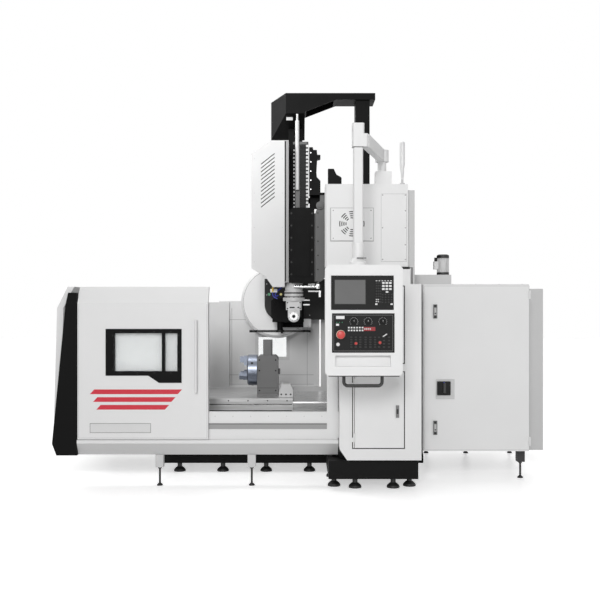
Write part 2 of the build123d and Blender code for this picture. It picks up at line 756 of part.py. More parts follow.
def column_cover(side, name, door_rows):
    """Sheet cover in front of a column, with a hollow compartment behind each door."""
    front = side * COVER_FRONT_Y
    back = side * (COLUMN_OUTER_Y + SEAT_GAP)
    floor = back + side * COVER_WALL
    hinge_y = front + side * HINGE_RADIUS
    with BuildPart() as cover:
        from_side(cover_outline(), (front, back))
        for low, high in door_rows:
            block((COLUMN_DOOR_LEFT, COLUMN_DOOR_RIGHT), (front, floor), (low, high),
                  mode=Mode.SUBTRACT)
            hinge_barrels(COLUMN_DOOR_LEFT, hinge_y, low, high, False)
            hinge_leaves((COLUMN_DOOR_LEFT - HINGE_LEAF_WIDTH, COLUMN_DOOR_LEFT),
                         (front + side * HINGE_LEAF, front), low, high, False)
    save(cover, name)


def catch(x, face_y, z):
    """Door catch: a plate with a raised thumb lever."""
    block((x - CATCH_WIDTH / 2, x + CATCH_WIDTH / 2), (face_y - CATCH_PLATE, face_y),
          (z - CATCH_HEIGHT / 2, z + CATCH_HEIGHT / 2))
    block((x - CATCH_WIDTH / 3, x + CATCH_WIDTH / 3), (face_y - CATCH_REACH, face_y - CATCH_PLATE),
          (z - CATCH_HEIGHT / 4, z + CATCH_HEIGHT / 3))


def column_door(name, low, high, catch_z):
    """Hinged door of the column cover, flush in its opening."""
    front = -COVER_FRONT_Y
    hinge_y = front - HINGE_RADIUS
    with BuildPart() as door:
        block((COLUMN_DOOR_LEFT + PANEL_GAP, COLUMN_DOOR_RIGHT - PANEL_GAP),
              (front, front + PANEL_THICKNESS), (low + PANEL_GAP, high - PANEL_GAP))
        hinge_barrels(COLUMN_DOOR_LEFT, hinge_y, low, high, True)
        hinge_leaves((COLUMN_DOOR_LEFT, COLUMN_DOOR_LEFT + HINGE_LEAF_WIDTH),
                     (front - HINGE_LEAF, front), low, high, True)
        catch(COLUMN_DOOR_RIGHT - CATCH_INSET, front, catch_z)
    save(door, name)


def crossbeam():
    """Box beam on the two columns: rails for the saddle in front, cored pockets behind."""
    body_left = BEAM_LEFT + BEAM_RAIL_HEIGHT
    y = (-BEAM_HALF_LENGTH, BEAM_HALF_LENGTH)
    with BuildPart() as beam:
        block((body_left, BEAM_RIGHT), y, (COLUMN_TOP, BEAM_TOP))
        for z in (COLUMN_TOP + BEAM_RAIL_INSET, BEAM_TOP - BEAM_RAIL_INSET):
            block((BEAM_LEFT, body_left), y, (z - BEAM_RAIL / 2, z + BEAM_RAIL / 2))
        middle = (COLUMN_TOP + BEAM_TOP) / 2
        with Locations(Plane((BEAM_RIGHT, 0, middle), x_dir=(0, 1, 0), z_dir=(1, 0, 0))):
            with GridLocations(BEAM_POCKET_PITCH, 1, BEAM_POCKETS, 1):
                Box(BEAM_POCKET_LENGTH, BEAM_POCKET_HEIGHT, 2 * BEAM_POCKET_DEPTH,
                    mode=Mode.SUBTRACT)
    save(beam, "crossbeam")


def fan_grille(face_y):
    """Eight spokes of short arc slots cut through the raised panel in front of the fan."""
    with BuildSketch(Plane.XZ.offset(-face_y)) as slots:
        for radius, spread in FAN_RINGS:
            for start in range(0, 360, 360 // FAN_GROUPS):
                with BuildLine():
                    CenterArc((FAN_X, FAN_Z), radius, start - spread / 2, spread)
                    offset(amount=FAN_SLOT / 2)
                make_face()
    extrude(slots.sketch, amount=-FAN_SLOT_DEPTH, mode=Mode.SUBTRACT)


def end_boxes():
    """Sheet boxes that close the crossbeam's ends; the near one has a raised fan panel."""
    left, right, bottom, top = FAN_PANEL
    duct_left = SIDE_BOX_RIGHT - SIDE_BOX_SHEET
    with BuildPart() as boxes:
        for side in BOTH_SIDES:
            from_top([(BOX_LEFT + BOX_CORNER, side * BOX_FRONT_Y), (BOX_RIGHT, side * BOX_FRONT_Y),
                      (BOX_RIGHT, side * BOX_BACK_Y), (BOX_LEFT, side * BOX_BACK_Y),
                      (BOX_LEFT, side * (BOX_FRONT_Y - BOX_CORNER))], (COLUMN_TOP, BOX_TOP))
            block((BOX_RIGHT, SIDE_BOX_RIGHT), (side * SIDE_BOX_INNER_Y, side * SIDE_BOX_OUTER_Y),
                  (COLUMN_TOP, SIDE_BOX_TOP))
            block((duct_left, SIDE_BOX_RIGHT), (side * SIDE_BOX_INNER_Y, side * SIDE_BOX_OUTER_Y),
                  (COVER_SHOULDER + PANEL_GAP, COLUMN_TOP))
        block((left, right), (-BOX_FRONT_Y - FAN_PANEL_PROUD, -BOX_FRONT_Y), (bottom, top))
        fan_grille(-BOX_FRONT_Y - FAN_PANEL_PROUD)
    save(boxes, "beam_end_boxes")


def end_panel_inside(z):
    """X of the left end panel's inner face at a height between its low edge and its shoulder."""
    lean = END_LEAN * (z - END_LOW_EDGE) / (END_SHOULDER - END_LOW_EDGE)
    return ENCLOSURE_LEFT + END_PANEL + lean


def left_end():
    """Left end panel of the enclosure, leaning in towards the top, and its corner trims."""
    toe = ENCLOSURE_LEFT + END_TOE
    outside = [
        (toe, ENCLOSURE_FLOOR), (ENCLOSURE_LEFT, END_LOW_EDGE),
        (ENCLOSURE_LEFT + END_LEAN, END_SHOULDER), (ENCLOSURE_LEFT + END_LEAN + END_CUT, END_TOP),
    ]
    inside = [(x + END_PANEL, z) for x, z in reversed(outside)]
    trim_right = DOOR_LEFT - PANEL_GAP - 2
    with BuildPart() as panel:
        from_side(outside + inside, (-WALL_Y, WALL_Y))
    save(panel, "left_end_panel")
    with BuildPart() as trims:
        for side in BOTH_SIDES:
            from_side([(trim_right - TRIM_CUT_X, TRIM_TOP), (trim_right, TRIM_TOP),
                       (trim_right, ENCLOSURE_FLOOR), (toe, ENCLOSURE_FLOOR),
                       (ENCLOSURE_LEFT, END_LOW_EDGE),
                       (trim_right - TRIM_NARROW_X, TRIM_TOP - TRIM_CUT_Z)],
                      (side * WALL_Y, side * (WALL_Y + WALL_THICKNESS)))
    save(trims, "corner_trims")


def wall_section(side, top):
    """A side wall's YZ section: a skirt that slants in under a ledge, and the wall above."""
    outer = WALL_Y + DOOR_GAP + DOOR_THICKNESS
    inner = WALL_Y - WALL_THICKNESS
    points = [
        (inner, ENCLOSURE_FLOOR), (inner + SKIRT_TOE, ENCLOSURE_FLOOR), (outer, SKIRT_TOP),
        (outer, SKIRT_LEDGE), (WALL_Y, SKIRT_LEDGE), (WALL_Y, top), (inner, top),
    ]
    return [(side * y, z) for y, z in points]


def walls():
    """Side walls left of the doorways, with the sills, posts and door rails on both sides."""
    wall_left = ENCLOSURE_LEFT + WALL_LEFT_INSET
    trim_right = DOOR_LEFT - PANEL_GAP - 2
    with BuildPart() as wall:
        for side in BOTH_SIDES:
            from_end(wall_section(side, WALL_TOP), (trim_right, DOORWAY_LEFT))
            block((wall_left, trim_right), (side * (WALL_Y - WALL_THICKNESS), side * WALL_Y),
                  (ENCLOSURE_FLOOR, WALL_TOP))
    save(wall, "side_walls")
    with BuildPart() as sill:
        for side in BOTH_SIDES:
            from_end(wall_section(side, SILL_TOP), (DOORWAY_LEFT, COVER_LEFT - PANEL_GAP))
            block((COVER_LEFT - PANEL_GAP, COLUMN_LEFT),
                  (side * (WALL_Y - WALL_THICKNESS), side * WALL_Y), (SILL_RETURN_BOTTOM, SILL_TOP))
    save(sill, "doorway_sills")
    with BuildPart() as posts:
        for side in BOTH_SIDES:
            block((DOORWAY_RIGHT, DOORWAY_RIGHT + POST_WIDTH),
                  (side * (WALL_Y - WALL_THICKNESS), side * WALL_Y), (SILL_TOP, POST_TOP))
    save(posts, "doorway_posts")
    with BuildPart() as rails:
        for side in BOTH_SIDES:
            block((DOOR_LEFT, DOORWAY_RIGHT),
                  (side * WALL_Y, side * (WALL_Y + DOOR_GAP - SEAT_GAP)), (RAIL_BOTTOM, RAIL_TOP))
    save(rails, "door_rails")


def door_section(side):
    """A door's YZ section; the near door leans in above its bend, the far one ends there."""
    outer = side * (WALL_Y + DOOR_GAP + DOOR_THICKNESS)
    inner = side * (WALL_Y + DOOR_GAP)
    if side == FAR:
        return [(outer, DOOR_BOTTOM), (outer, WALL_TOP + FAR_RIM), (inner, WALL_TOP + FAR_RIM),
                (inner, DOOR_BOTTOM)]
    lean = side * DOOR_HOOD_LEAN
    return [
        (outer, DOOR_BOTTOM), (outer, WALL_TOP), (outer - lean, WALL_TOP + DOOR_HOOD_RISE),
        (inner - lean, WALL_TOP + DOOR_HOOD_RISE), (inner, WALL_TOP + DOOR_BEND_RISE), (inner, DOOR_BOTTOM),
    ]


def door_handle(x, face_y):
    """Round bar handle on two standoffs in front of the near door."""
    bar_y = face_y - HANDLE_REACH
    post((x, bar_y), HANDLE_RADIUS, (HANDLE_BOTTOM, HANDLE_BOTTOM + HANDLE_LENGTH))
    for z in (HANDLE_BOTTOM + 2 * HANDLE_RADIUS, HANDLE_BOTTOM + HANDLE_LENGTH - 2 * HANDLE_RADIUS):
        with Locations(Location((x, face_y - HANDLE_REACH / 2, z), (90, 0, 0))):
            Cylinder(STANDOFF_RADIUS, HANDLE_REACH)


def window(side, name, left, right, bottom, top, panes, outline):
    """A black window frame let into a door, proud of its outer face, and its glass."""
    outer = side * (WALL_Y + DOOR_GAP + DOOR_THICKNESS)
    inner = side * (WALL_Y + DOOR_GAP)
    proud = outer + side * FRAME_PROUD
    middle = (outer + inner) / 2
    with BuildPart() as frame:
        block((left, right), (inner, outer), (bottom, top))
        from_side(outline, (outer, proud))
        for pane_left, pane_right in panes:
            block((pane_left, pane_right), (inner, proud),
                  (bottom + WINDOW_FRAME, top - WINDOW_FRAME), mode=Mode.SUBTRACT)
    save(frame, f"{name}_window_frame")
    with BuildPart() as glass:
        for pane_left, pane_right in panes:
            block((pane_left, pane_right),
                  (middle - GLASS_THICKNESS / 2, middle + GLASS_THICKNESS / 2),
                  (bottom + WINDOW_FRAME, top - WINDOW_FRAME))
    save(glass, f"{name}_glass")


def near_door():
    """Near sliding door with its two-pane window, latch housing and handle."""
    left = DOOR_LEFT + WINDOW_INSET
    right = left + WINDOW_WIDTH
    outer = -(WALL_Y + DOOR_GAP + DOOR_THICKNESS)
    mullion = right - WINDOW_FRAME - SMALL_PANE - WINDOW_MULLION
    panes = [(left + 2 * WINDOW_FRAME, mullion), (mullion + WINDOW_MULLION, right - WINDOW_FRAME)]
    latch_left = right - LATCH_WIDTH
    outline = [
        (left, WINDOW_BOTTOM), (latch_left - LATCH_SLOPE, WINDOW_BOTTOM),
        (latch_left, WINDOW_BOTTOM - LATCH_DROP), (right, WINDOW_BOTTOM - LATCH_DROP),
        (right, WINDOW_TOP), (left, WINDOW_TOP),
    ]
    with BuildPart() as door:
        from_end(door_section(NEAR), (DOOR_LEFT, DOOR_LEFT + DOOR_WIDTH))
        block((left, right), (outer, outer + DOOR_THICKNESS), (WINDOW_BOTTOM, WINDOW_TOP),
              mode=Mode.SUBTRACT)
        door_handle(DOOR_LEFT + HANDLE_INSET, outer)
    save(door, "near_door")
    window(NEAR, "near_door", left, right, WINDOW_BOTTOM, WINDOW_TOP, panes, outline)


def far_door():
    """Far sliding door, drawn closed, with a smaller window."""
    door_left = DOOR_LEFT + DOOR_TRAVEL
    left = door_left + FAR_WINDOW_INSET
    right = left + FAR_WINDOW_WIDTH
    outer = WALL_Y + DOOR_GAP + DOOR_THICKNESS
    outline = [(left, FAR_WINDOW_BOTTOM), (right, FAR_WINDOW_BOTTOM), (right, FAR_WINDOW_TOP),
               (left, FAR_WINDOW_TOP)]
    panes = [(left + WINDOW_FRAME, right - WINDOW_FRAME)]
    with BuildPart() as door:
        from_end(door_section(FAR), (door_left, door_left + DOOR_WIDTH))
        block((left, right), (outer - DOOR_THICKNESS, outer),
              (FAR_WINDOW_BOTTOM, FAR_WINDOW_TOP), mode=Mode.SUBTRACT)
    save(door, "far_door")
    window(FAR, "far_door", left, right, FAR_WINDOW_BOTTOM, FAR_WINDOW_TOP, panes, outline)


def table():
    """Work table with T-slots and side grooves, on two runners that ride the ways."""
    bottom = TABLE_TOP - TABLE_THICKNESS
    x = (TABLE_LEFT, TABLE_RIGHT)
    groove = TABLE_TOP - SIDE_GROOVE_DROP
    with BuildPart() as plate:
        block(x, (-TABLE_HALF_WIDTH, TABLE_HALF_WIDTH), (bottom, TABLE_TOP))
        for side in BOTH_SIDES:
            block((TABLE_LEFT + RUNNER_INSET, TABLE_RIGHT - RUNNER_INSET),
                  (side * WAY_Y - WAY_WIDTH, side * WAY_Y + WAY_WIDTH),
                  (WAY_TOP + SEAT_GAP, bottom))
            edge = side * TABLE_HALF_WIDTH
            block(x, (edge, edge - side * SIDE_GROOVE),
                  (groove - SIDE_GROOVE / 2, groove + SIDE_GROOVE / 2), mode=Mode.SUBTRACT)
        for index in range(SLOT_COUNT):
            y = (index - (SLOT_COUNT - 1) / 2) * SLOT_PITCH
            foot = TABLE_TOP - SLOT_DEPTH
            block(x, (y - SLOT_MOUTH / 2, y + SLOT_MOUTH / 2), (foot, TABLE_TOP),
                  mode=Mode.SUBTRACT)
            block(x, (y - SLOT_FOOT / 2, y + SLOT_FOOT / 2), (foot, foot + SLOT_FOOT_HEIGHT),
                  mode=Mode.SUBTRACT)
    save(plate, "table")


def cover_hood(left, nesting):
    """One hood of a telescopic cover: a roof and two skirts, smaller by its nesting step."""
    half = COVER_HALF_WIDTH - nesting * COVER_STEP
    top = COVER_TOP - nesting * COVER_STEP
    skirt = COVER_TOP - COVER_SKIRT_HEIGHT
    bevel = COVER_BEVEL
    outside = [(-half, skirt), (-half, top - bevel), (-half + bevel, top), (half - bevel, top),
               (half, top - bevel), (half, skirt)]
    sheet = COVER_SHEET
    inside = [(half - sheet, skirt), (half - sheet, top - bevel), (half - bevel, top - sheet),
              (-half + bevel, top - sheet), (-half + sheet, top - bevel), (-half + sheet, skirt)]
    from_end(outside + inside, (left, left + COVER_PLATE))


def wiper(end, nesting, towards):
    """Lip under a hood's outer edge that wipes the roof of the next smaller hood."""
    half = COVER_HALF_WIDTH - nesting * COVER_STEP - 4 * COVER_SHEET
    top = COVER_TOP - nesting * COVER_STEP
    block((end, end - towards * WIPER_LENGTH), (-half, half),
          (top - COVER_STEP + SEAT_GAP, top - COVER_SHEET))


def way_covers():
    """Telescopic covers on both sides of the table; like stages of both sides move together."""
    for stage in range(COVER_STAGES + 1):
        share = stage / COVER_STAGES
        nesting = COVER_STAGES - stage
        left_start = -COVER_END + share * (TABLE_LEFT - COVER_PLATE + COVER_END)
        right_start = COVER_END - COVER_PLATE - share * (COVER_END - COVER_PLATE - TABLE_RIGHT)
        with BuildPart() as hoods:
            cover_hood(left_start, nesting)
            cover_hood(right_start, nesting)
            if stage == 0:
                half = COVER_HALF_WIDTH - nesting * COVER_STEP
                top = COVER_TOP - nesting * COVER_STEP
                seat = end_panel_inside(top) + SEAT_GAP
                for side in (-1, 1):
                    block((side * WAY_HALF_LENGTH, -side * seat), (-half, half),
                          (BED_TOP - COVER_FLANGE, top))
            else:
                wiper(left_start, nesting, -1)
                wiper(right_start + COVER_PLATE, nesting, 1)
        names = {0: "way_cover_fixed", COVER_STAGES: "way_cover_table"}
        save(hoods, names.get(stage, f"way_cover_{stage}"))


def rotary_table():
    """Rotary table with its motor neck and plug, and the clamp block beside it."""
    right = ROTARY_LEFT + ROTARY_WIDTH
    far_y = ROTARY_Y + ROTARY_DEPTH
    middle_y = ROTARY_Y + ROTARY_DEPTH / 2
    neck_left = ROTARY_LEFT + NECK_INSET
    corner = ROTARY_CORNER
    plug_z = TABLE_TOP + PLUG_HEIGHT + PLUG_RADIUS
    with BuildPart() as body:
        from_side([(ROTARY_LEFT, TABLE_TOP), (ROTARY_LEFT, ROTARY_TOP - corner),
                   (ROTARY_LEFT + corner, ROTARY_TOP), (right - corner, ROTARY_TOP),
                   (right, ROTARY_TOP - corner), (right, TABLE_TOP)], (ROTARY_Y, far_y))
        for y in (ROTARY_Y, far_y):
            block((ROTARY_LEFT, right), (y - ROTARY_FLANGE, y + ROTARY_FLANGE),
                  (TABLE_TOP, TABLE_TOP + ROTARY_FLANGE_HEIGHT))
        with BuildSketch(Plane.XY.offset(ROTARY_TOP)) as neck:
            with Locations((neck_left + NECK_WIDTH / 2, middle_y)):
                RectangleRounded(NECK_WIDTH, NECK_DEPTH, NECK_CORNER)
        extrude(neck.sketch, amount=NECK_TOP - ROTARY_TOP)
        with Locations(Location((right + PLUG_REACH / 2, middle_y, plug_z), (0, 90, 0))):
            Cylinder(PLUG_RADIUS, PLUG_REACH)
    save(body, "rotary_table")
    with BuildPart() as clamp:
        clamp_right = CLAMP_LEFT + CLAMP_WIDTH
        from_side([(CLAMP_LEFT, TABLE_TOP), (CLAMP_LEFT, TABLE_TOP + CLAMP_TOE),
                   (CLAMP_LEFT + CLAMP_TAPER, CLAMP_TOP), (clamp_right - CLAMP_TAPER, CLAMP_TOP),
                   (clamp_right, CLAMP_TOP - CLAMP_FALL), (clamp_right, TABLE_TOP)],
                  (CLAMP_NEAR_Y, CLAMP_FAR_Y))
    save(clamp, "clamp_block")


def chuck():
    """Three-jaw chuck on the rotary table's left face, its axis along X."""
    middle_y = ROTARY_Y + ROTARY_DEPTH / 2
    start = ROTARY_LEFT - SEAT_GAP
    face_x = start - CHUCK_LENGTH
    jaw_reach = CHUCK_RADIUS - JAW_MARGIN
    jaw_start = CHUCK_BORE + JAW_MARGIN
    with BuildPart() as body:
        with BuildSketch(Plane.YZ.offset(start)) as face:
            with Locations((middle_y, CHUCK_Z)):
                Circle(CHUCK_RADIUS)
                Circle(CHUCK_BORE, mode=Mode.SUBTRACT)
        extrude(face.sketch, amount=-CHUCK_LENGTH)
        rims = body.edges().filter_by(GeomType.CIRCLE).group_by(Axis.X)[0]
        chamfer(rims.sort_by(SortBy.RADIUS)[-1], CHUCK_CHAMFER)
        for angle in (90, 210, 330):
            direction = (0, cos(radians(angle)), sin(radians(angle)))
            plane = Plane(origin=(face_x, middle_y, CHUCK_Z), x_dir=direction, z_dir=(-1, 0, 0))
            with BuildSketch(plane) as jaw:
                with Locations(((jaw_start + jaw_reach) / 2, 0)):
                    Rectangle(jaw_reach - jaw_start, JAW_WIDTH)
            extrude(jaw.sketch, amount=JAW_LENGTH / 2)
            with BuildSketch(plane.offset(JAW_LENGTH / 2)) as step:
                with Locations((jaw_reach - (JAW_STEP + JAW_MARGIN) / 2, 0)):
                    Rectangle(JAW_STEP, JAW_WIDTH)
            extrude(step.sketch, amount=JAW_LENGTH / 2)
    save(body, "chuck")


def cabinet():
    """Electrical cabinet: a hollow box held at its left and back, with a hinged front door."""
    frame_y = CABINET_FRONT_Y + CABINET_DOOR + PANEL_GAP
    hinge_y = CABINET_FRONT_Y - HINGE_RADIUS
    low = CABINET_BOTTOM
    high = CABINET_TOP
    with BuildPart() as box:
        block((CABINET_LEFT, CABINET_RIGHT), (frame_y, CABINET_BACK_Y), (low, high))
        block((CABINET_LEFT + CABINET_RIM, CABINET_RIGHT - CABINET_RIM),
              (frame_y, CABINET_BACK_Y - CABINET_SHELL),
              (low + CABINET_RIM, high - CABINET_RIM), mode=Mode.SUBTRACT)
        hinge_barrels(CABINET_RIGHT, hinge_y, low, high, False)
        hinge_leaves((CABINET_RIGHT, CABINET_RIGHT + HINGE_LEAF),
                     (hinge_y, frame_y + HINGE_LEAF_WIDTH), low, high, False)
    save(box, "electrical_cabinet")
    with BuildPart() as door:
        block((CABINET_LEFT + PANEL_GAP, CABINET_RIGHT - PANEL_GAP),
              (CABINET_FRONT_Y, CABINET_FRONT_Y + CABINET_DOOR),
              (low + PANEL_GAP, high - PANEL_GAP))
        hinge_barrels(CABINET_RIGHT, hinge_y, low, high, True)
        hinge_leaves((CABINET_RIGHT - HINGE_LEAF_WIDTH, CABINET_RIGHT),
                     (CABINET_FRONT_Y - HINGE_LEAF, CABINET_FRONT_Y), low, high, True)
        for z in (low + CABINET_CATCH_LOW, high - CABINET_CATCH_HIGH):
            catch(CABINET_LEFT + 2 * CATCH_INSET, CABINET_FRONT_Y, z)
        half = SWITCH_PLATE / 2
        base_face = CABINET_FRONT_Y - SWITCH_BASE
        boss = SWITCH_BOSS - SWITCH_BASE
        block((SWITCH_X - half, SWITCH_X + half), (base_face, CABINET_FRONT_Y),
              (SWITCH_Z - half, SWITCH_Z + half))
        with Locations(Location((SWITCH_X, base_face - boss / 2, SWITCH_Z), (90, 0, 0))):
            Cylinder(SWITCH_RADIUS, boss)
        block((SWITCH_X - SWITCH_KNOB, SWITCH_X + SWITCH_KNOB),
              (CABINET_FRONT_Y - SWITCH_REACH, CABINET_FRONT_Y - SWITCH_BOSS),
              (SWITCH_Z - SWITCH_RADIUS, SWITCH_Z + SWITCH_RADIUS))
    save(door, "cabinet_door")


def guard():
    """Guard round the right half of the bed, open on top, with a folded rim."""
    half = GUARD_HALF_WIDTH
    inner = half - GUARD_SHEET
    rim = GUARD_TOP - GUARD_SHEET
    with BuildPart() as end:
        from_side([(GUARD_RIGHT - GUARD_SHEET, GUARD_BOTTOM), (GUARD_RIGHT, GUARD_BOTTOM),
                   (GUARD_RIGHT, GUARD_TOP), (GUARD_RIGHT - GUARD_RIM, GUARD_TOP),
                   (GUARD_RIGHT - GUARD_RIM, rim), (GUARD_RIGHT - GUARD_SHEET, rim)],
                  (-half, half))
    save(end, "guard_end")
    with BuildPart() as sides:
        for side in BOTH_SIDES:
            section = [(half, GUARD_BOTTOM), (half, GUARD_TOP), (half - GUARD_RIM, GUARD_TOP),
                       (half - GUARD_RIM, rim), (inner, rim), (inner, GUARD_BOTTOM)]
            from_end([(side * y, z) for y, z in section], (GUARD_LEFT, GUARD_RIGHT - GUARD_RIM))
            block((GUARD_RIGHT - GUARD_RIM, GUARD_RIGHT - GUARD_SHEET),
                  (side * half, side * inner), (GUARD_BOTTOM, rim))
    save(sides, "guard_sides")


def saddle():
    """Saddle on the crossbeam's rails: carriage pads, head guides and the bridge over the beam."""
    y = (HEAD_Y - SADDLE_HALF_WIDTH, HEAD_Y + SADDLE_HALF_WIDTH)
    bridge_top = SADDLE_TOP + BRIDGE_THICKNESS
    with BuildPart() as casting:
        from_side([(SADDLE_LEFT, SADDLE_BOTTOM), (SADDLE_LEFT, SADDLE_TOP - SADDLE_SHOULDER),
                   (SADDLE_LEFT + SADDLE_SETBACK, SADDLE_TOP), (SADDLE_RIGHT, SADDLE_TOP),
                   (SADDLE_RIGHT, SADDLE_BOTTOM + SADDLE_TOE), (SADDLE_LEFT + SADDLE_TOE,
                                                               SADDLE_BOTTOM)], y)
        block((SADDLE_LEFT + SADDLE_SETBACK, GALLOWS_RIGHT), (GALLOWS_NEAR_Y, BRIDGE_FAR_Y),
              (SADDLE_TOP, bridge_top))
        for z in (COLUMN_TOP + BEAM_RAIL_INSET, BEAM_TOP - BEAM_RAIL_INSET):
            block((SADDLE_RIGHT, BEAM_LEFT - SEAT_GAP), y, (z - BEAM_RAIL / 2, z + BEAM_RAIL / 2))
        for side in BOTH_SIDES:
            guide = HEAD_Y + side * GUIDE_OFFSET
            block((HEAD_RIGHT + SEAT_GAP, SADDLE_LEFT),
                  (guide - GUIDE_WIDTH / 2, guide + GUIDE_WIDTH / 2),
                  (SADDLE_BOTTOM, SADDLE_TOP - SADDLE_SHOULDER))
    save(casting, "saddle")


def gallows():
    """Post, haunched beam and sloping hood that ride on the saddle over the head."""
    post_y = (GALLOWS_POST_NEAR_Y, GALLOWS_POST_FAR_Y)
    gusset_y = (GUSSET_Y - GUSSET_THICKNESS / 2, GUSSET_Y + GUSSET_THICKNESS / 2)
    foot = SADDLE_TOP + BRIDGE_THICKNESS
    hood_bottom = GALLOWS_TOP - GALLOWS_HOOD_DEPTH
    with BuildPart() as upright:
        block((GALLOWS_POST_LEFT, GALLOWS_POST_RIGHT), post_y, (foot, GALLOWS_BEAM_BOTTOM))
        from_side([(GALLOWS_POST_LEFT - GUSSET_RUN, foot), (GALLOWS_POST_LEFT, foot + GUSSET_RISE),
                   (GALLOWS_POST_LEFT, foot)], gusset_y)
    save(upright, "gallows_post")
    with BuildPart() as beam:
        from_side([(GALLOWS_HOOD_RIGHT, hood_bottom + GALLOWS_LIP), (GALLOWS_HAUNCH_X, GALLOWS_BEAM_BOTTOM),
                   (GALLOWS_RIGHT, GALLOWS_BEAM_BOTTOM), (GALLOWS_RIGHT, GALLOWS_TOP),
                   (GALLOWS_HOOD_RIGHT, GALLOWS_TOP)], (GALLOWS_NEAR_Y, GALLOWS_FAR_Y))
        from_side([(GALLOWS_HOOD_RIGHT + GALLOWS_PLATE, hood_bottom),
                   (GALLOWS_HOOD_RIGHT + GALLOWS_PLATE, GALLOWS_TOP - GALLOWS_PLATE),
                   (GALLOWS_HAUNCH_X - 2 * GALLOWS_PLATE, GALLOWS_TOP - GALLOWS_PLATE),
                   (GALLOWS_HAUNCH_X - 2 * GALLOWS_PLATE, hood_bottom)],
                  (GALLOWS_NEAR_Y + GALLOWS_PLATE, GALLOWS_FAR_Y - GALLOWS_PLATE),
                  mode=Mode.SUBTRACT)
    save(beam, "gallows_beam")
    with BuildPart() as hood:
        from_end([(GALLOWS_NEAR_Y, GALLOWS_TOP), (GALLOWS_NEAR_Y, hood_bottom),
                  (GALLOWS_HOOD_FAR_Y, GALLOWS_TOP - GALLOWS_HOOD_FAR_DEPTH),
                  (GALLOWS_HOOD_FAR_Y, GALLOWS_TOP)], (GALLOWS_HOOD_FAR_LEFT, GALLOWS_HOOD_RIGHT))
        from_top([(GALLOWS_HOOD_FAR_LEFT, GALLOWS_HOOD_FAR_Y),
                  (GALLOWS_HOOD_NEAR_LEFT, GALLOWS_NEAR_Y),
                  (GALLOWS_HOOD_FAR_LEFT, GALLOWS_NEAR_Y)],
                 (GALLOWS_TOP - GALLOWS_HOOD_FAR_DEPTH, GALLOWS_TOP), mode=Mode.SUBTRACT)
    save(hood, "gallows_hood")


def hood_underside(y):
    """Height of the hood's sloping underside at a place across the machine."""
    share = (y - GALLOWS_NEAR_Y) / (GALLOWS_HOOD_FAR_Y - GALLOWS_NEAR_Y)
    fall = share * (GALLOWS_HOOD_FAR_DEPTH - GALLOWS_HOOD_DEPTH)
    return GALLOWS_TOP - GALLOWS_HOOD_DEPTH - fall


def lift_motor():
    """Lift motor with its brake and plugs, on a seat on the bridge, and a stepped bracket."""
    foot = SADDLE_TOP + BRIDGE_THICKNESS
    seat = foot + LIFT_SEAT_HEIGHT
    left = LIFT_MOTOR_LEFT
    right = LIFT_MOTOR_RIGHT
    top = LIFT_MOTOR_TOP
    steps = [(right - inset, top - drop) for inset, drop in LIFT_MOTOR_STEPS]
    y = (HEAD_Y - LIFT_MOTOR_HALF, HEAD_Y + LIFT_MOTOR_HALF)
    with BuildPart() as motor:
        block((left, LIFT_SEAT_RIGHT), y, (foot, seat))
        from_side([(left, seat), (left, top), *steps, (right, seat)], y)
    save(motor, "lift_motor")
    with BuildPart() as bracket:
        step = BRACKET_TOP - BRACKET_STEP
        from_side([(BRACKET_LEFT, foot), (BRACKET_LEFT, BRACKET_TOP),
                   (BRACKET_LEFT + BRACKET_CREST, BRACKET_TOP),
                   (BRACKET_LEFT + BRACKET_SLOPE_X, step + BRACKET_SLOPE_Z),
                   (BRACKET_RIGHT - BRACKET_EDGE, step), (BRACKET_RIGHT, step - BRACKET_EDGE),
                   (BRACKET_RIGHT, foot)],
                  (HEAD_Y - BRACKET_DEPTH / 2, HEAD_Y + BRACKET_DEPTH / 2))
    save(bracket, "cable_bracket")


def balance_gear():
    """Balance cylinder under the hood, and the mast behind the trunk that the bridge holds."""
    top = hood_underside(CYLINDER_Y + ROD_RADIUS) - SEAT_GAP
    with BuildPart() as cylinder:
        turned((CYLINDER_X, CYLINDER_Y), [
            (CYLINDER_RADIUS, CYLINDER_BOTTOM), (CYLINDER_RADIUS, top - ROD_LENGTH),
            (ROD_RADIUS, top - ROD_LENGTH), (ROD_RADIUS, top)])
    save(cylinder, "balance_cylinder")
    near_top = hood_underside(MAST_NEAR_Y) - SEAT_GAP
    far_top = hood_underside(MAST_FAR_Y) - SEAT_GAP
    with BuildPart() as mast:
        from_end([(MAST_NEAR_Y, MAST_BOTTOM), (MAST_NEAR_Y, near_top), (MAST_FAR_Y, far_top),
                  (MAST_FAR_Y, MAST_BOTTOM)], (MAST_LEFT, MAST_RIGHT))
        block((MAST_RIGHT, SADDLE_LEFT + SADDLE_SETBACK - SEAT_GAP), (MAST_NEAR_Y, BRIDGE_FAR_Y),
              (SADDLE_TOP, SADDLE_TOP + BRIDGE_THICKNESS))
    save(mast, "head_mast")


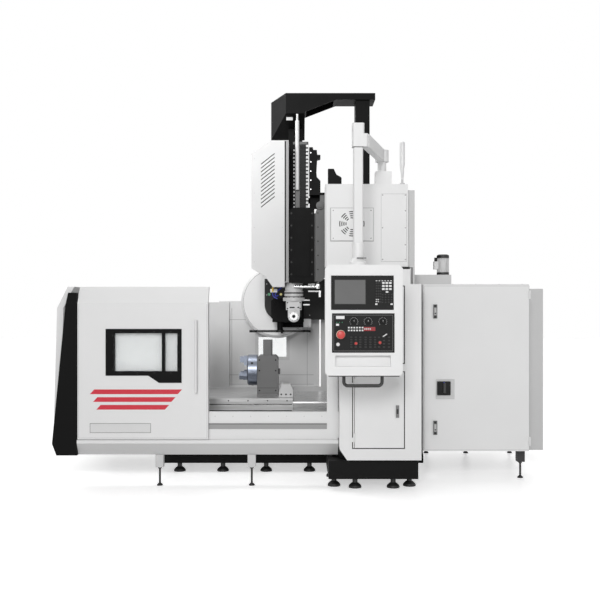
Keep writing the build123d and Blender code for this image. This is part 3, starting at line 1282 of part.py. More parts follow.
def head():
    """Head casting with its guide shoes, the motor trunk and the cable chain beside it."""
    y = (HEAD_Y - HEAD_HALF_WIDTH, HEAD_Y + HEAD_HALF_WIDTH)
    trunk_y = (TRUNK_Y - TRUNK_HALF_WIDTH, TRUNK_Y + TRUNK_HALF_WIDTH)
    with BuildPart() as casting:
        from_side([(HEAD_LEFT, HEAD_BOTTOM + HEAD_TOE_Z), (HEAD_LEFT, HEAD_TOP - HEAD_TOP_CUT_Z),
                   (HEAD_LEFT + HEAD_TOP_CUT_X, HEAD_TOP), (HEAD_RIGHT, HEAD_TOP),
                   (HEAD_RIGHT, HEAD_BOTTOM + HEAD_HEEL_Z), (HEAD_RIGHT - HEAD_HEEL_X, HEAD_BOTTOM),
                   (HEAD_LEFT + HEAD_TOE_X, HEAD_BOTTOM)], y)
    save(casting, "head_casting")
    with BuildPart() as trunk:
        with BuildSketch(Plane.XY.offset(HEAD_TOP)) as section:
            with Locations(((TRUNK_LEFT + TRUNK_RIGHT) / 2, TRUNK_Y)):
                RectangleRounded(TRUNK_RIGHT - TRUNK_LEFT, 2 * TRUNK_HALF_WIDTH, TRUNK_CORNER)
        extrude(section.sketch, amount=TRUNK_TOP - HEAD_TOP)
    save(trunk, "head_trunk")
    chain_y = (trunk_y[0] - CHAIN_DEPTH, trunk_y[0])
    with BuildPart() as chain:
        block((CHAIN_LEFT + CHAIN_NOTCH, CHAIN_RIGHT - CHAIN_NOTCH),
              (chain_y[0] + CHAIN_RECESS, chain_y[1]),
              (HEAD_TOP, HEAD_TOP + CHAIN_LINKS * CHAIN_PITCH))
        for index in range(CHAIN_LINKS):
            start = HEAD_TOP + index * CHAIN_PITCH
            block((CHAIN_LEFT, CHAIN_RIGHT), chain_y,
                  (start + CHAIN_GAP, start + CHAIN_PITCH - CHAIN_GAP))
    save(chain, "cable_chain")


def head_cover():
    """Sheet cover on the head's left, with cut corners and slanting vents on both flanks."""
    near = HEAD_Y - HOOD_HALF_WIDTH
    far = HEAD_Y + HOOD_HALF_WIDTH
    low_left = (HOOD_LEFT, HOOD_BOTTOM + HOOD_SIDE_Z)
    low_knee = (HOOD_LEFT + HOOD_KNEE_X, HOOD_BOTTOM + HOOD_KNEE_Z)
    low_heel = (HOOD_LEFT + HOOD_HEEL_X, HOOD_BOTTOM)
    lip = HEAD_BOTTOM + HOOD_LIP
    strip_left = HOOD_RIGHT - HOOD_STRIP
    with BuildPart() as cover:
        from_side([low_left, low_knee, low_heel, (strip_left, HOOD_BOTTOM),
                   (strip_left, lip), (HOOD_RIGHT, lip),
                   (HOOD_RIGHT, HOOD_TOP), (HOOD_LEFT + HOOD_TOP_CUT_X, HOOD_TOP),
                   (HOOD_LEFT, HOOD_TOP - HOOD_TOP_CUT_Z)], (near, far))
        for index in range(VENT_COUNT):
            z = VENT_FIRST_Z + index * VENT_PITCH
            slot = [(VENT_LEFT, z), (VENT_LEFT + VENT_RUN, z + VENT_RISE),
                    (VENT_LEFT + VENT_RUN, z + VENT_RISE + VENT_WIDTH),
                    (VENT_LEFT, z + VENT_WIDTH)]
            for face in ((near, near + VENT_DEPTH), (far - VENT_DEPTH, far)):
                from_side(slot, face, mode=Mode.SUBTRACT)
    save(cover, "head_cover")


def spindle():
    """Spindle nose with its flange, and the angle milling head that hangs on it."""
    axis = (0, HEAD_Y)
    flange_top = SPINDLE_FLANGE_BOTTOM + SPINDLE_FLANGE_HEIGHT
    ring = SPINDLE_RING_RADIUS
    flange = SPINDLE_FLANGE_RADIUS
    edge = SPINDLE_EDGE
    low = SPINDLE_RING_BOTTOM
    high = low + SPINDLE_RING_HEIGHT
    with BuildPart() as housing:
        turned(axis, [
            (flange, SPINDLE_FLANGE_BOTTOM), (flange, flange_top - edge),
            (flange - edge, flange_top), (SPINDLE_NECK_RADIUS, flange_top),
            (SPINDLE_NECK_RADIUS, low), (ring - edge, low), (ring, low + edge),
            (ring, high - edge), (ring - SPINDLE_GROOVE, high),
            (ring - SPINDLE_GROOVE, high + SPINDLE_GROOVE),
            (ring - edge, high + SPINDLE_GROOVE + edge), (ring - edge, HEAD_BOTTOM)])
    save(housing, "spindle_housing")
    half = ANGLE_BODY_WIDTH / 2
    neck = ANGLE_NECK_WIDTH / 2
    nose_y = HEAD_Y - half
    with BuildPart() as angle:
        with BuildSketch(Plane.XY.offset(ANGLE_BODY_BOTTOM)) as section:
            with Locations(axis):
                RectangleRounded(ANGLE_BODY_WIDTH, ANGLE_BODY_WIDTH, ANGLE_CORNER)
        extrude(section.sketch, amount=SPINDLE_FLANGE_BOTTOM - ANGLE_BODY_BOTTOM)
        with BuildSketch(Plane.XZ.offset(-(HEAD_Y + neck))) as lobe:
            with Locations((0, ANGLE_NOSE_Z)):
                Circle(neck)
            with Locations((0, (ANGLE_NOSE_Z + ANGLE_BODY_BOTTOM) / 2)):
                Rectangle(ANGLE_NECK_WIDTH, ANGLE_BODY_BOTTOM - ANGLE_NOSE_Z)
        extrude(lobe.sketch, amount=neck + half)
    save(angle, "angle_head")
    with BuildPart() as rotor:
        with BuildSketch(Plane.XZ.offset(-(nose_y - SEAT_GAP))) as face:
            with Locations((0, ANGLE_NOSE_Z)):
                Circle(ANGLE_NOSE_RADIUS)
                Circle(ANGLE_BORE_RADIUS, mode=Mode.SUBTRACT)
        extrude(face.sketch, amount=ANGLE_COLLAR_LENGTH)
        with BuildSketch(Plane.XZ.offset(-(nose_y - SEAT_GAP))) as face:
            with Locations((0, ANGLE_NOSE_Z)):
                Circle(ANGLE_TIP_RADIUS)
                Circle(ANGLE_BORE_RADIUS, mode=Mode.SUBTRACT)
        extrude(face.sketch, amount=ANGLE_SPINDLE_LENGTH)
    save(rotor, "milling_spindle")


def magazine():
    """Round tool magazine on the far side, its carrier plate and the changer's gearbox."""
    far_y = MAGAZINE_NEAR_Y + MAGAZINE_DEPTH
    plate_y = (MAGAZINE_NEAR_Y - PLATE_THICKNESS, MAGAZINE_NEAR_Y)
    with BuildPart() as disc:
        with BuildSketch(Plane.XZ.offset(-far_y)) as face:
            with Locations((MAGAZINE_X, MAGAZINE_Z)):
                Circle(MAGAZINE_RADIUS)
        extrude(face.sketch, amount=MAGAZINE_DEPTH)
        edges = disc.edges().filter_by(GeomType.CIRCLE)
        chamfer(edges, MAGAZINE_RIM)
    save(disc, "tool_magazine")
    with BuildPart() as plate:
        with BuildSketch(Plane.XZ.offset(-plate_y[1])) as face:
            with BuildLine():
                corner = (PLATE_LEFT + PLATE_CORNER, PLATE_BOTTOM + PLATE_CORNER)
                Polyline((PLATE_LEFT, corner[1]), (PLATE_LEFT, PLATE_TOP),
                         (COLUMN_LEFT, PLATE_TOP), (COLUMN_LEFT, PLATE_BOTTOM),
                         (corner[0], PLATE_BOTTOM))
                CenterArc(corner, PLATE_CORNER, 180, 90)
            make_face()
        extrude(face.sketch, amount=PLATE_THICKNESS)
    save(plate, "magazine_plate")
    left = ARM_X - CHANGER_HALF_WIDTH
    right = ARM_X + CHANGER_HALF_WIDTH
    with BuildPart() as changer:
        from_side([(left + CHANGER_CUT, PLATE_BOTTOM), (left, PLATE_BOTTOM + CHANGER_CUT),
                   (left, CHANGER_TOP - CHANGER_CUT), (left + CHANGER_CUT, CHANGER_TOP),
                   (right, CHANGER_TOP), (right, PLATE_BOTTOM)],
                  (ARM_Y - CHANGER_NEAR, plate_y[0]))
        post((ARM_X, ARM_Y), ARM_SHAFT_RADIUS,
             (ARM_BOTTOM + ARM_THICKNESS + SEAT_GAP, PLATE_BOTTOM))
        frame_y = (plate_y[0] - FRAME_DEPTH, plate_y[0])
        block((FRAME_LEFT, FRAME_RIGHT), frame_y, (FRAME_BOTTOM, PLATE_BOTTOM + FRAME_RIM))
        block((FRAME_LEFT + FRAME_RIM, FRAME_RIGHT - FRAME_RIM),
              (frame_y[0], frame_y[1] - FRAME_RIM), (FRAME_BOTTOM + FRAME_RIM, PLATE_BOTTOM),
              mode=Mode.SUBTRACT)
    save(changer, "tool_changer")


def tool_arm():
    """Double arm of the tool changer: a waisted bar with an open claw at each end."""
    with BuildPart() as arm:
        with BuildSketch(Plane.XY.offset(ARM_BOTTOM)) as outline:
            with Locations((ARM_X, ARM_Y)):
                Circle(ARM_HUB_RADIUS)
                Rectangle(2 * ARM_GRIP_REACH, 2 * ARM_HALF_WIDTH)
            for end in (-1, 1):
                x = ARM_X + end * ARM_GRIP_REACH
                with Locations((x, ARM_Y)):
                    Circle(ARM_CLAW_RADIUS)
                with Locations((x, ARM_Y)):
                    Circle(ARM_GRIP_RADIUS, mode=Mode.SUBTRACT)
                with Locations((x, ARM_Y - end * ARM_CLAW_RADIUS)):
                    Rectangle(ARM_MOUTH, 2 * ARM_CLAW_RADIUS, mode=Mode.SUBTRACT)
        extrude(outline.sketch, amount=ARM_THICKNESS)
    save(arm, "tool_arm")


def pendant_arm():
    """Base on the near end box, and the swing arm with its elbow and drop tube."""
    with BuildPart() as base:
        block(PENDANT_BASE_X, PENDANT_BASE_Y, (BOX_TOP, PENDANT_BASE_TOP))
        post((PENDANT_X, PENDANT_Y), PENDANT_NECK_RADIUS,
             (PENDANT_BASE_TOP, PENDANT_ARM_BOTTOM - SEAT_GAP))
    save(base, "pendant_base")
    run_x = ELBOW_X + PENDANT_ARM_OFFSET - PENDANT_X
    run_y = ELBOW_Y - PENDANT_Y
    heading = degrees(atan2(run_y, run_x))
    with BuildPart() as arm:
        with BuildSketch(Plane.XY.offset(PENDANT_ARM_BOTTOM)) as run:
            with Locations(Location((PENDANT_X + run_x / 2, PENDANT_Y + run_y / 2), heading)):
                Rectangle(hypot(run_x, run_y), PENDANT_ARM_WIDTH)
            with Locations((PENDANT_X, PENDANT_Y)):
                Circle(PENDANT_KNUCKLE_RADIUS)
            with Locations((ELBOW_X + PENDANT_ARM_OFFSET / 2, ELBOW_Y)):
                RectangleRounded(2 * ELBOW_HALF, 2 * ELBOW_HALF, ELBOW_CORNER)
        extrude(run.sketch, amount=PENDANT_ARM_TOP - PENDANT_ARM_BOTTOM)
        with BuildSketch(Plane.XY.offset(PENDANT_ARM_BOTTOM)) as elbow:
            with Locations((ELBOW_X, ELBOW_Y)):
                RectangleRounded(2 * ELBOW_HALF, 2 * ELBOW_HALF, ELBOW_CORNER)
        extrude(elbow.sketch, amount=ELBOW_TOP - PENDANT_ARM_BOTTOM)
        with BuildSketch(Plane.XY.offset(TUBE_BOTTOM)) as tube:
            with Locations((ELBOW_X, ELBOW_Y)):
                RectangleRounded(TUBE_SIZE, TUBE_SIZE, TUBE_CORNER)
        extrude(tube.sketch, amount=PENDANT_ARM_BOTTOM - TUBE_BOTTOM)
    save(arm, "pendant_arm")


def console_pocket(area, depth, mode=Mode.SUBTRACT):
    """A rectangular pocket in the console's front, area as left, right, bottom and top."""
    left, right, bottom, top = area
    block((left, right), (CONSOLE_FRONT_Y, CONSOLE_FRONT_Y + depth), (bottom, top), mode=mode)


def console():
    """Operator's console: cut corners, screen, key field, tray slot and the grip below."""
    corner = CONSOLE_CORNER
    inset = CONSOLE_BACK_INSET
    back_face = CONSOLE_BACK_Y - CONSOLE_BACK_STEP
    swivel = CONSOLE_TOP
    grip_y = (CONSOLE_FRONT_Y + CONSOLE_BACK_Y) / 2
    with BuildPart() as housing:
        from_side([(CONSOLE_LEFT + corner, CONSOLE_BOTTOM), (CONSOLE_LEFT, CONSOLE_BOTTOM + corner),
                   (CONSOLE_LEFT, CONSOLE_TOP - corner), (CONSOLE_LEFT + corner, CONSOLE_TOP),
                   (CONSOLE_RIGHT - corner, CONSOLE_TOP), (CONSOLE_RIGHT, CONSOLE_TOP - corner),
                   (CONSOLE_RIGHT, CONSOLE_BOTTOM + corner),
                   (CONSOLE_RIGHT - corner, CONSOLE_BOTTOM)],
                  (CONSOLE_FRONT_Y, back_face))
        block((CONSOLE_LEFT + inset, CONSOLE_RIGHT - inset), (back_face, CONSOLE_BACK_Y),
              (CONSOLE_BOTTOM + inset, CONSOLE_TOP))
        console_pocket(SCREEN, SCREEN_DEPTH)
        console_pocket(KEYS, KEYS_DEPTH)
        console_pocket(TRAY, TRAY_DEPTH)
        turned((ELBOW_X, ELBOW_Y), [
            (SWIVEL_RADIUS, swivel), (SWIVEL_RADIUS, swivel + SWIVEL_FLANGE),
            (SWIVEL_NECK_RADIUS, swivel + SWIVEL_SHOULDER),
            (SWIVEL_NECK_RADIUS, TUBE_BOTTOM - SEAT_GAP)])
        with BuildLine(Plane.XZ.offset(-grip_y)) as path:
            FilletPolyline((GRIP_LEFT, CONSOLE_BOTTOM + GRIP_SEAT), (GRIP_LEFT, GRIP_BOTTOM + GRIP_RADIUS),
                           (GRIP_RIGHT, GRIP_BOTTOM + GRIP_RADIUS), (GRIP_RIGHT, CONSOLE_BOTTOM + GRIP_SEAT),
                           radius=GRIP_BEND)
        with BuildSketch(Plane(origin=(GRIP_LEFT, grip_y, CONSOLE_BOTTOM + GRIP_SEAT),
                               z_dir=(0, 0, -1))) as bar:
            Circle(GRIP_RADIUS)
        sweep(bar.sketch, path=path.line)
    save(housing, "console")


def fan_motor():
    """Shelf on the cabinet and the finned upright motor on it."""
    with BuildPart() as shelf:
        block((SHELF_LEFT, SHELF_RIGHT), (SHELF_NEAR_Y, SHELF_FAR_Y), (CABINET_TOP, SHELF_TOP))
    save(shelf, "motor_shelf")
    fin_low = SHELF_TOP + MOTOR_CAP
    fin_high = MOTOR_TOP - MOTOR_CAP - 10
    with BuildPart() as motor:
        turned((MOTOR_X, MOTOR_Y), [
            (MOTOR_RADIUS, SHELF_TOP), (MOTOR_RADIUS, fin_low), (MOTOR_CORE, fin_low),
            (MOTOR_CORE, fin_high), (MOTOR_RADIUS, fin_high),
            (MOTOR_RADIUS, MOTOR_TOP - MOTOR_BEVEL), (MOTOR_RADIUS - MOTOR_BEVEL, MOTOR_TOP)])
        with BuildSketch(Plane.XY.offset(fin_low)) as fins:
            with Locations((MOTOR_X, MOTOR_Y)):
                with PolarLocations(MOTOR_CORE + MOTOR_FIN_HEIGHT / 3, MOTOR_FINS):
                    Rectangle(MOTOR_FIN_HEIGHT, MOTOR_FIN_THICKNESS)
        extrude(fins.sketch, amount=fin_high - fin_low)
        block((MOTOR_X - MOTOR_RADIUS - TERMINAL_REACH, MOTOR_X - MOTOR_CORE),
              (MOTOR_Y - TERMINAL_HALF, MOTOR_Y + TERMINAL_HALF),
              (fin_low + TERMINAL_HALF, fin_high - TERMINAL_HALF))
    save(motor, "pump_motor")


def signal_lamp():
    """Signal lamp: a frosted column on a short stem."""
    with BuildPart() as lamp:
        turned((LAMP_X, LAMP_Y), [
            (LAMP_FOOT_RADIUS, BOX_TOP), (LAMP_FOOT_RADIUS, LAMP_FOOT_TOP),
            (LAMP_STEM_RADIUS, LAMP_FOOT_TOP), (LAMP_STEM_RADIUS, LAMP_STEM_TOP),
            (LAMP_RADIUS, LAMP_TAPER_TOP), (LAMP_RADIUS, LAMP_TOP - LAMP_CAP),
            (LAMP_RADIUS - LAMP_CAP, LAMP_TOP)])
    save(lamp, "signal_lamp")


bed()
feet()
columns()
column_cover(NEAR, "near_column_cover",
             [(LOWER_DOOR_BOTTOM, LOWER_DOOR_TOP), (UPPER_DOOR_BOTTOM, UPPER_DOOR_TOP)])
column_cover(FAR, "far_column_cover", [])
column_door("lower_column_door", LOWER_DOOR_BOTTOM, LOWER_DOOR_TOP, LOWER_DOOR_TOP - CATCH_ABOVE)
column_door("upper_column_door", UPPER_DOOR_BOTTOM, UPPER_DOOR_TOP, UPPER_DOOR_BOTTOM + CATCH_ABOVE)
crossbeam()
end_boxes()
left_end()
walls()
near_door()
far_door()
table()
way_covers()
rotary_table()
chuck()
cabinet()
guard()
saddle()
gallows()
lift_motor()
balance_gear()
head()
head_cover()
spindle()
magazine()
tool_arm()
pendant_arm()
console()
fan_motor()
signal_lamp()
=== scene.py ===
"""Dresses the gantry milling machine: coats, glass, seams, screws, keys, chains and hoses."""
from math import cos, pi, radians, sin

import bmesh
import bpy
from mathutils import Matrix, Vector
from mathutils.bvhtree import BVHTree


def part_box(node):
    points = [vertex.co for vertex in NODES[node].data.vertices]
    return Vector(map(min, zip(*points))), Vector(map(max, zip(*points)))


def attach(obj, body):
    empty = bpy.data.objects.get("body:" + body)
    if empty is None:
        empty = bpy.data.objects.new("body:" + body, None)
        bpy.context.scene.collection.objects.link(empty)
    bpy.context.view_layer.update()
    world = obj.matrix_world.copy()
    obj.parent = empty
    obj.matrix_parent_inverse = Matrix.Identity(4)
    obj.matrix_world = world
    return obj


bl_info = {
    "name": "Gantry milling machine",
    "version": (1, 0, 0),
    "blender": (4, 5, 0),
    "location": "3D View > Sidebar > Gantry mill",
    "description": "Coats, fittings and stage for a gantry milling machine",
    "category": "Object",
}

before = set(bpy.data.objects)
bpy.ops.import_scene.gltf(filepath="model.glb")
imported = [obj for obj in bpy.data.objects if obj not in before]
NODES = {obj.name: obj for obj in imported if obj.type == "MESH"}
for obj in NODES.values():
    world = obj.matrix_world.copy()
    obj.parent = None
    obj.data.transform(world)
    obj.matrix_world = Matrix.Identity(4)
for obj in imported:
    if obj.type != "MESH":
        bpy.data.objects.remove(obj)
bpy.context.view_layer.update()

MM = 0.001
DONE = {"FINISHED"}
WHITE = (1.0, 1.0, 1.0, 1.0)
NEAR = -1
FAR = 1
FRONT = (0, -1, 0)
BACK = (0, 1, 0)
UP = (0, 0, 1)
SIDES = {NEAR: FRONT, FAR: BACK}
SIDE_NAMES = {NEAR: "near", FAR: "far"}

# Places that no node's box gives: the bend of the doors' sheet, the tool arm's top, the top of
# the walls' skirt, below which they get painted shade, the cabinet door's face, the end of the
# columns' upper boxes, past which they get painted shade, the light legs
BEND_Z = 1713.0
ARM_TOP = 1395.0
SKIRT_TOP = 405.0
CABINET_FRONT = -1050.0
BOX_RIGHT = 1053.0
LIGHT_LEG_END = -330.0

# Heights at which a coat changes: legs, console grip, motor caps, lamp stem and switch knob
LEG_LENGTH = 119.0
GRIP_HEIGHT = 106.0
MOTOR_CAPS = (27.0, 34.0)
LAMP_STEM = 64.0
KNOB_BAND = (780.0, 1040.0)
KNOB_REACH = 11.0
BEYOND = 9.0

# Zero of the machine's own measures: the spindle axis across X, the table's middle across Y
SPINDLE_LOW, SPINDLE_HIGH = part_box("milling_spindle")
TABLE_LOW, TABLE_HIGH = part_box("table")
ZERO = Vector(((SPINDLE_LOW.x + SPINDLE_HIGH.x) / 2, (TABLE_LOW.y + TABLE_HIGH.y) / 2, 0.0))

# The level camera, with its focal length in pixels of a frame 600 pixels wide
CAMERA_PLACE = (65.0, -9340.0, 1740.0)
FOCAL_PIXELS = 869.0
FRAME_PIXELS = 600.0
SENSOR = 36.0


def linear(red, green, blue):
    """A colour read off in display values from 0 to 255, as linear light."""
    def one(value):
        share = value / 255.0
        return share / 12.92 if share <= 0.04045 else ((share + 0.055) / 1.055) ** 2.4
    return (one(red), one(green), one(blue), 1.0)


def grey(value):
    """A neutral grey read off in display values."""
    return linear(value, value, value)


def at(x, y, z):
    """A point from millimetres off the spindle axis, the table's middle and the floor."""
    return ZERO + Vector((x, y, z)) * MM


def span(*names):
    """The ranges that nodes take along X, Y and Z, in the machine's millimetres."""
    boxes = [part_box(name) for name in names]
    return [((min(low[i] for low, _high in boxes) - ZERO[i]) / MM,
             (max(high[i] for _low, high in boxes) - ZERO[i]) / MM) for i in range(3)]


SKINS = {}
REACH = 9000.0


def face(name, x, z, side=NEAR):
    """Where a line along Y first meets a node, from the operator's side or from behind."""
    if name not in SKINS:
        mesh = NODES[name].data
        SKINS[name] = BVHTree.FromPolygons([v.co for v in mesh.vertices],
                                           [p.vertices[:] for p in mesh.polygons])
    place = SKINS[name].ray_cast(at(x, side * REACH, z), Vector((0, -side, 0)))[0]
    if place is None:
        raise ValueError(f"no face of {name} at {x}, {z}")
    return (place.y - ZERO.y) / MM


def sum_of(operation, swapped=False):
    """A method that joins a socket and a value by a sum."""
    def method(self, other):
        first, second = (other, self) if swapped else (self, other)
        return self.nodes.node("ShaderNodeMath", {"operation": operation},
                               {0: first, 1: second})
    return method


class Socket:
    """A shader socket that takes part in Python sums."""

    def __init__(self, nodes, socket):
        self.nodes = nodes
        self.socket = socket

    __add__, __radd__ = sum_of("ADD"), sum_of("ADD", True)
    __sub__, __rsub__ = sum_of("SUBTRACT"), sum_of("SUBTRACT", True)
    __mul__, __rmul__ = sum_of("MULTIPLY"), sum_of("MULTIPLY", True)
    __gt__, __lt__ = sum_of("GREATER_THAN"), sum_of("LESS_THAN")


class Nodes:
    """A shader tree in the making, with one method for every kind of node."""

    def __init__(self, tree):
        self.tree = tree

    def node(self, kind, settings=None, inputs=None, output=0):
        """Add a node: its settings first, then values or links for its sockets."""
        node = self.tree.nodes.new(kind)
        for name, value in (settings or {}).items():
            if name == "stops":
                self._ramp(node, value)
            else:
                setattr(node, name, value)
        for key, value in (inputs or {}).items():
            if isinstance(value, Socket):
                self.tree.links.new(value.socket, node.inputs[key])
            else:
                node.inputs[key].default_value = value
        return Socket(self, node.outputs[output])

    @staticmethod
    def _ramp(node, stops):
        ramp = node.color_ramp
        while len(ramp.elements) < len(stops):
            ramp.elements.new(1.0)
        for element, (place, value) in zip(ramp.elements, stops):
            element.position = place
            element.color = (value, value, value, 1.0)

    def seen(self):
        """1 for what the camera sees, straight, in metal or through glass."""
        rays = [self.node("ShaderNodeLightPath", output=name) for name in
                ("Is Camera Ray", "Is Glossy Ray", "Is Transmission Ray")]
        return self.node("ShaderNodeClamp", inputs={"Value": rays[0] + rays[1] + rays[2]})


class Finish(Nodes):
    """A material in the making, with its surface shader."""

    def __init__(self, name, colour, roughness, **surface):
        self.material = bpy.data.materials.new(name)
        self.material.use_nodes = True
        super().__init__(self.material.node_tree)
        self.shader = self.tree.nodes["Principled BSDF"]
        self.set("Base Color", colour)
        self.set("Roughness", roughness)
        for socket, value in surface.items():
            self.set(socket.replace("_", " ").title().replace("Ior", "IOR"), value)

    def set(self, name, value):
        """Set a socket of the surface shader to a number, a colour or another socket."""
        target = self.shader.inputs[name]
        if isinstance(value, Socket):
            self.tree.links.new(value.socket, target)
        else:
            target.default_value = value

    def place(self):
        """The piece's own coordinates, in metres."""
        return self.node("ShaderNodeTexCoord", output="Object")

    def axis(self, index):
        """One coordinate of the piece."""
        return self.node("ShaderNodeSeparateXYZ", inputs={0: self.place()}, output=index)

    def stretched(self, scale):
        """The piece's coordinates with another scale along each axis."""
        return self.node("ShaderNodeMapping", inputs={"Vector": self.place(), "Scale": scale})

    def noise(self, scale, detail=2.0, place=None, roughness=0.5):
        """Cloudy noise from 0 to 1."""
        return self.node("ShaderNodeTexNoise", inputs={
            "Vector": place or self.place(), "Scale": scale, "Detail": detail,
            "Roughness": roughness}, output="Fac")

    def ramp(self, value, stops):
        """A value led through a ramp of grey stops."""
        return self.node("ShaderNodeValToRGB", {"stops": stops}, {"Fac": value})

    def mix(self, share, first, second):
        """A colour between two colours."""
        return self.node("ShaderNodeMix", {"data_type": "RGBA"},
                         {0: share, 6: first, 7: second}, output=2)

    def darkened(self, colour, share):
        """Set the base colour to a colour times a share of grey."""
        self.set("Base Color", self.node("ShaderNodeMix", {
            "data_type": "RGBA", "blend_type": "MULTIPLY"}, {0: 1.0, 6: colour, 7: share}, 2))

    def lines(self, scale):
        """Even waves along the height."""
        return self.node("ShaderNodeTexWave", {"bands_direction": "Z"}, {
            "Vector": self.place(), "Scale": scale}, 1)

    def bump(self, height, strength, distance):
        """Surface relief from a height."""
        self.set("Normal", self.node("ShaderNodeBump", inputs={
            "Height": height, "Strength": strength, "Distance": distance}))


COATS = {}


def coat(name):
    """A finished material by its name, made at its first use."""
    if name not in COATS:
        COATS[name] = MAKERS[name](name).material
    return COATS[name]


def powder_coat(colour, roughness, spread=0.03, band=None, gloss=0.5):
    """Oven-baked powder coat: orange-peel skin and faint clouds, with another tone inside a band
    where banded: real paint on the console's grip and the cabinet door, painted shade on the
    walls' skirt and the boxes' side strip.
    """
    def make(name):
        finish = Finish(name, colour, roughness, coat_weight=0.16 * gloss, coat_roughness=0.3,
                        specular_ior_level=gloss)
        tone = colour
        if band:
            *ranges, other = band
            inside = 1.0
            for index, low, high in ranges:
                along = finish.axis(index)
                inside = (along > low) * (along < high) * inside
            tone = finish.mix(inside, colour, other)
        clouds = finish.noise(1.7, 3.0)
        finish.darkened(tone, finish.ramp(clouds, [(0.3, 1.0 - spread), (0.7, 1.0)]))
        finish.set("Roughness", roughness + 0.1 * finish.noise(6.0, 4.0) - 0.05)
        finish.bump(finish.noise(420.0, 1.0), 0.12, 0.0004)
        return finish
    return make


def ground_metal(colour, roughness, scale, tone=0.12):
    """Ground or brushed metal: fine lines along one axis and faint clouds in the shine."""
    def make(name):
        finish = Finish(name, colour, roughness, metallic=1.0)
        lines = finish.noise(1.0, 3.0, finish.stretched(scale))
        finish.darkened(colour, finish.ramp(lines, [(0.3, 1.0 - tone), (0.7, 1.0)]))
        finish.set("Roughness", roughness + 0.18 * lines - 0.09)
        finish.bump(lines, 0.1, 0.0003)
        return finish
    return make


def cast_paint(colour, roughness):
    """Thick satin paint over a casting: broad unevenness under a fine skin."""
    def make(name):
        finish = Finish(name, colour, roughness, specular_ior_level=0.1)
        broad = finish.noise(9.0, 3.0)
        fine = finish.noise(160.0, 2.0)
        finish.set("Roughness", roughness + 0.14 * broad - 0.07)
        finish.bump(0.7 * broad + 0.3 * fine, 0.12, 0.0012)
        return finish
    return make


def feet_coat(name):
    """Light legs, steel stems and black pads and domes, told apart by place and height."""
    finish = Finish(name, grey(30), 0.55)
    height = finish.axis(2)
    leg = height > LEG_BOTTOM
    light = (finish.axis(0) < at(LIGHT_LEG_END, 0, 0).x) * leg
    finish.set("Base Color", finish.mix(light, grey(26), grey(200)))
    finish.set("Roughness", 0.42 + 0.2 * finish.noise(30.0))
    finish.bump(finish.lines(90.0) * (1.0 - leg), 0.25, 0.001)
    return finish


def motor_coat(name):
    """Light grey motor with black end caps, told apart by height."""
    finish = Finish(name, grey(216), 0.5)
    low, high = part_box("pump_motor")
    height = finish.axis(2)
    lower, upper = MOTOR_CAPS
    cap = (height < low.z + lower * MM) + (height > high.z - upper * MM)
    finish.set("Base Color", finish.mix(cap, grey(216), grey(22)))
    finish.set("Roughness", 0.45 + 0.15 * finish.noise(40.0))
    finish.bump(finish.noise(300.0), 0.1, 0.0004)
    return finish


def clear_glass(name):
    """Toughened pane: mostly clear, with a faint smear in its shine."""
    finish = Finish(name, (0.93, 0.96, 0.96, 1.0), 0.04, ior=1.5, transmission_weight=0.85)
    smear = finish.noise(3.0, 4.0, finish.stretched((1.0, 1.0, 0.25)))
    finish.set("Roughness", 0.02 + 0.10 * smear)
    finish.set("Alpha", 0.45)
    return finish


def lamp_plastic(name):
    """Frosted lamp column with a clear cap and grey stem, told apart by height."""
    finish = Finish(name, grey(236), 0.35, transmission_weight=0.3, coat_weight=0.3)
    low, _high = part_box("signal_lamp")
    height = finish.axis(2)
    stem = height < low.z + LAMP_STEM * MM
    finish.set("Base Color", finish.mix(stem, grey(238), grey(208)))
    finish.set("Roughness", 0.3 + 0.15 * finish.noise(60.0))
    finish.bump(finish.lines(12.0), 0.12, 0.0008)
    return finish


def black_rubber(name):
    """Matt black rubber with a fine grain, also used for the painted shadow under the column's
    upper box.
    """
    finish = Finish(name, grey(20), 0.75)
    finish.set("Roughness", 0.68 + 0.16 * finish.noise(25.0))
    finish.bump(finish.noise(500.0), 0.2, 0.0003)
    return finish


def moulded(colour, roughness, gloss=0.5):
    """Moulded plastic with a fine spark-eroded grain."""
    def make(name):
        finish = Finish(name, colour, roughness, specular_ior_level=gloss)
        finish.set("Roughness", roughness + 0.08 * finish.noise(20.0) - 0.04)
        finish.bump(finish.noise(700.0, 1.0), 0.12, 0.0002)
        return finish
    return make


def screen_glass(name):
    """A dark screen behind glass, with lighter patches of painted reflection of the room."""
    finish = Finish(name, grey(92), 0.18, coat_weight=0.6, coat_roughness=0.06)
    painted_reflection = finish.noise(3.0, 2.0)
    finish.set("Base Color", finish.mix(painted_reflection, grey(86), grey(98)))
    finish.set("Roughness", 0.16 + 0.08 * painted_reflection)
    return finish


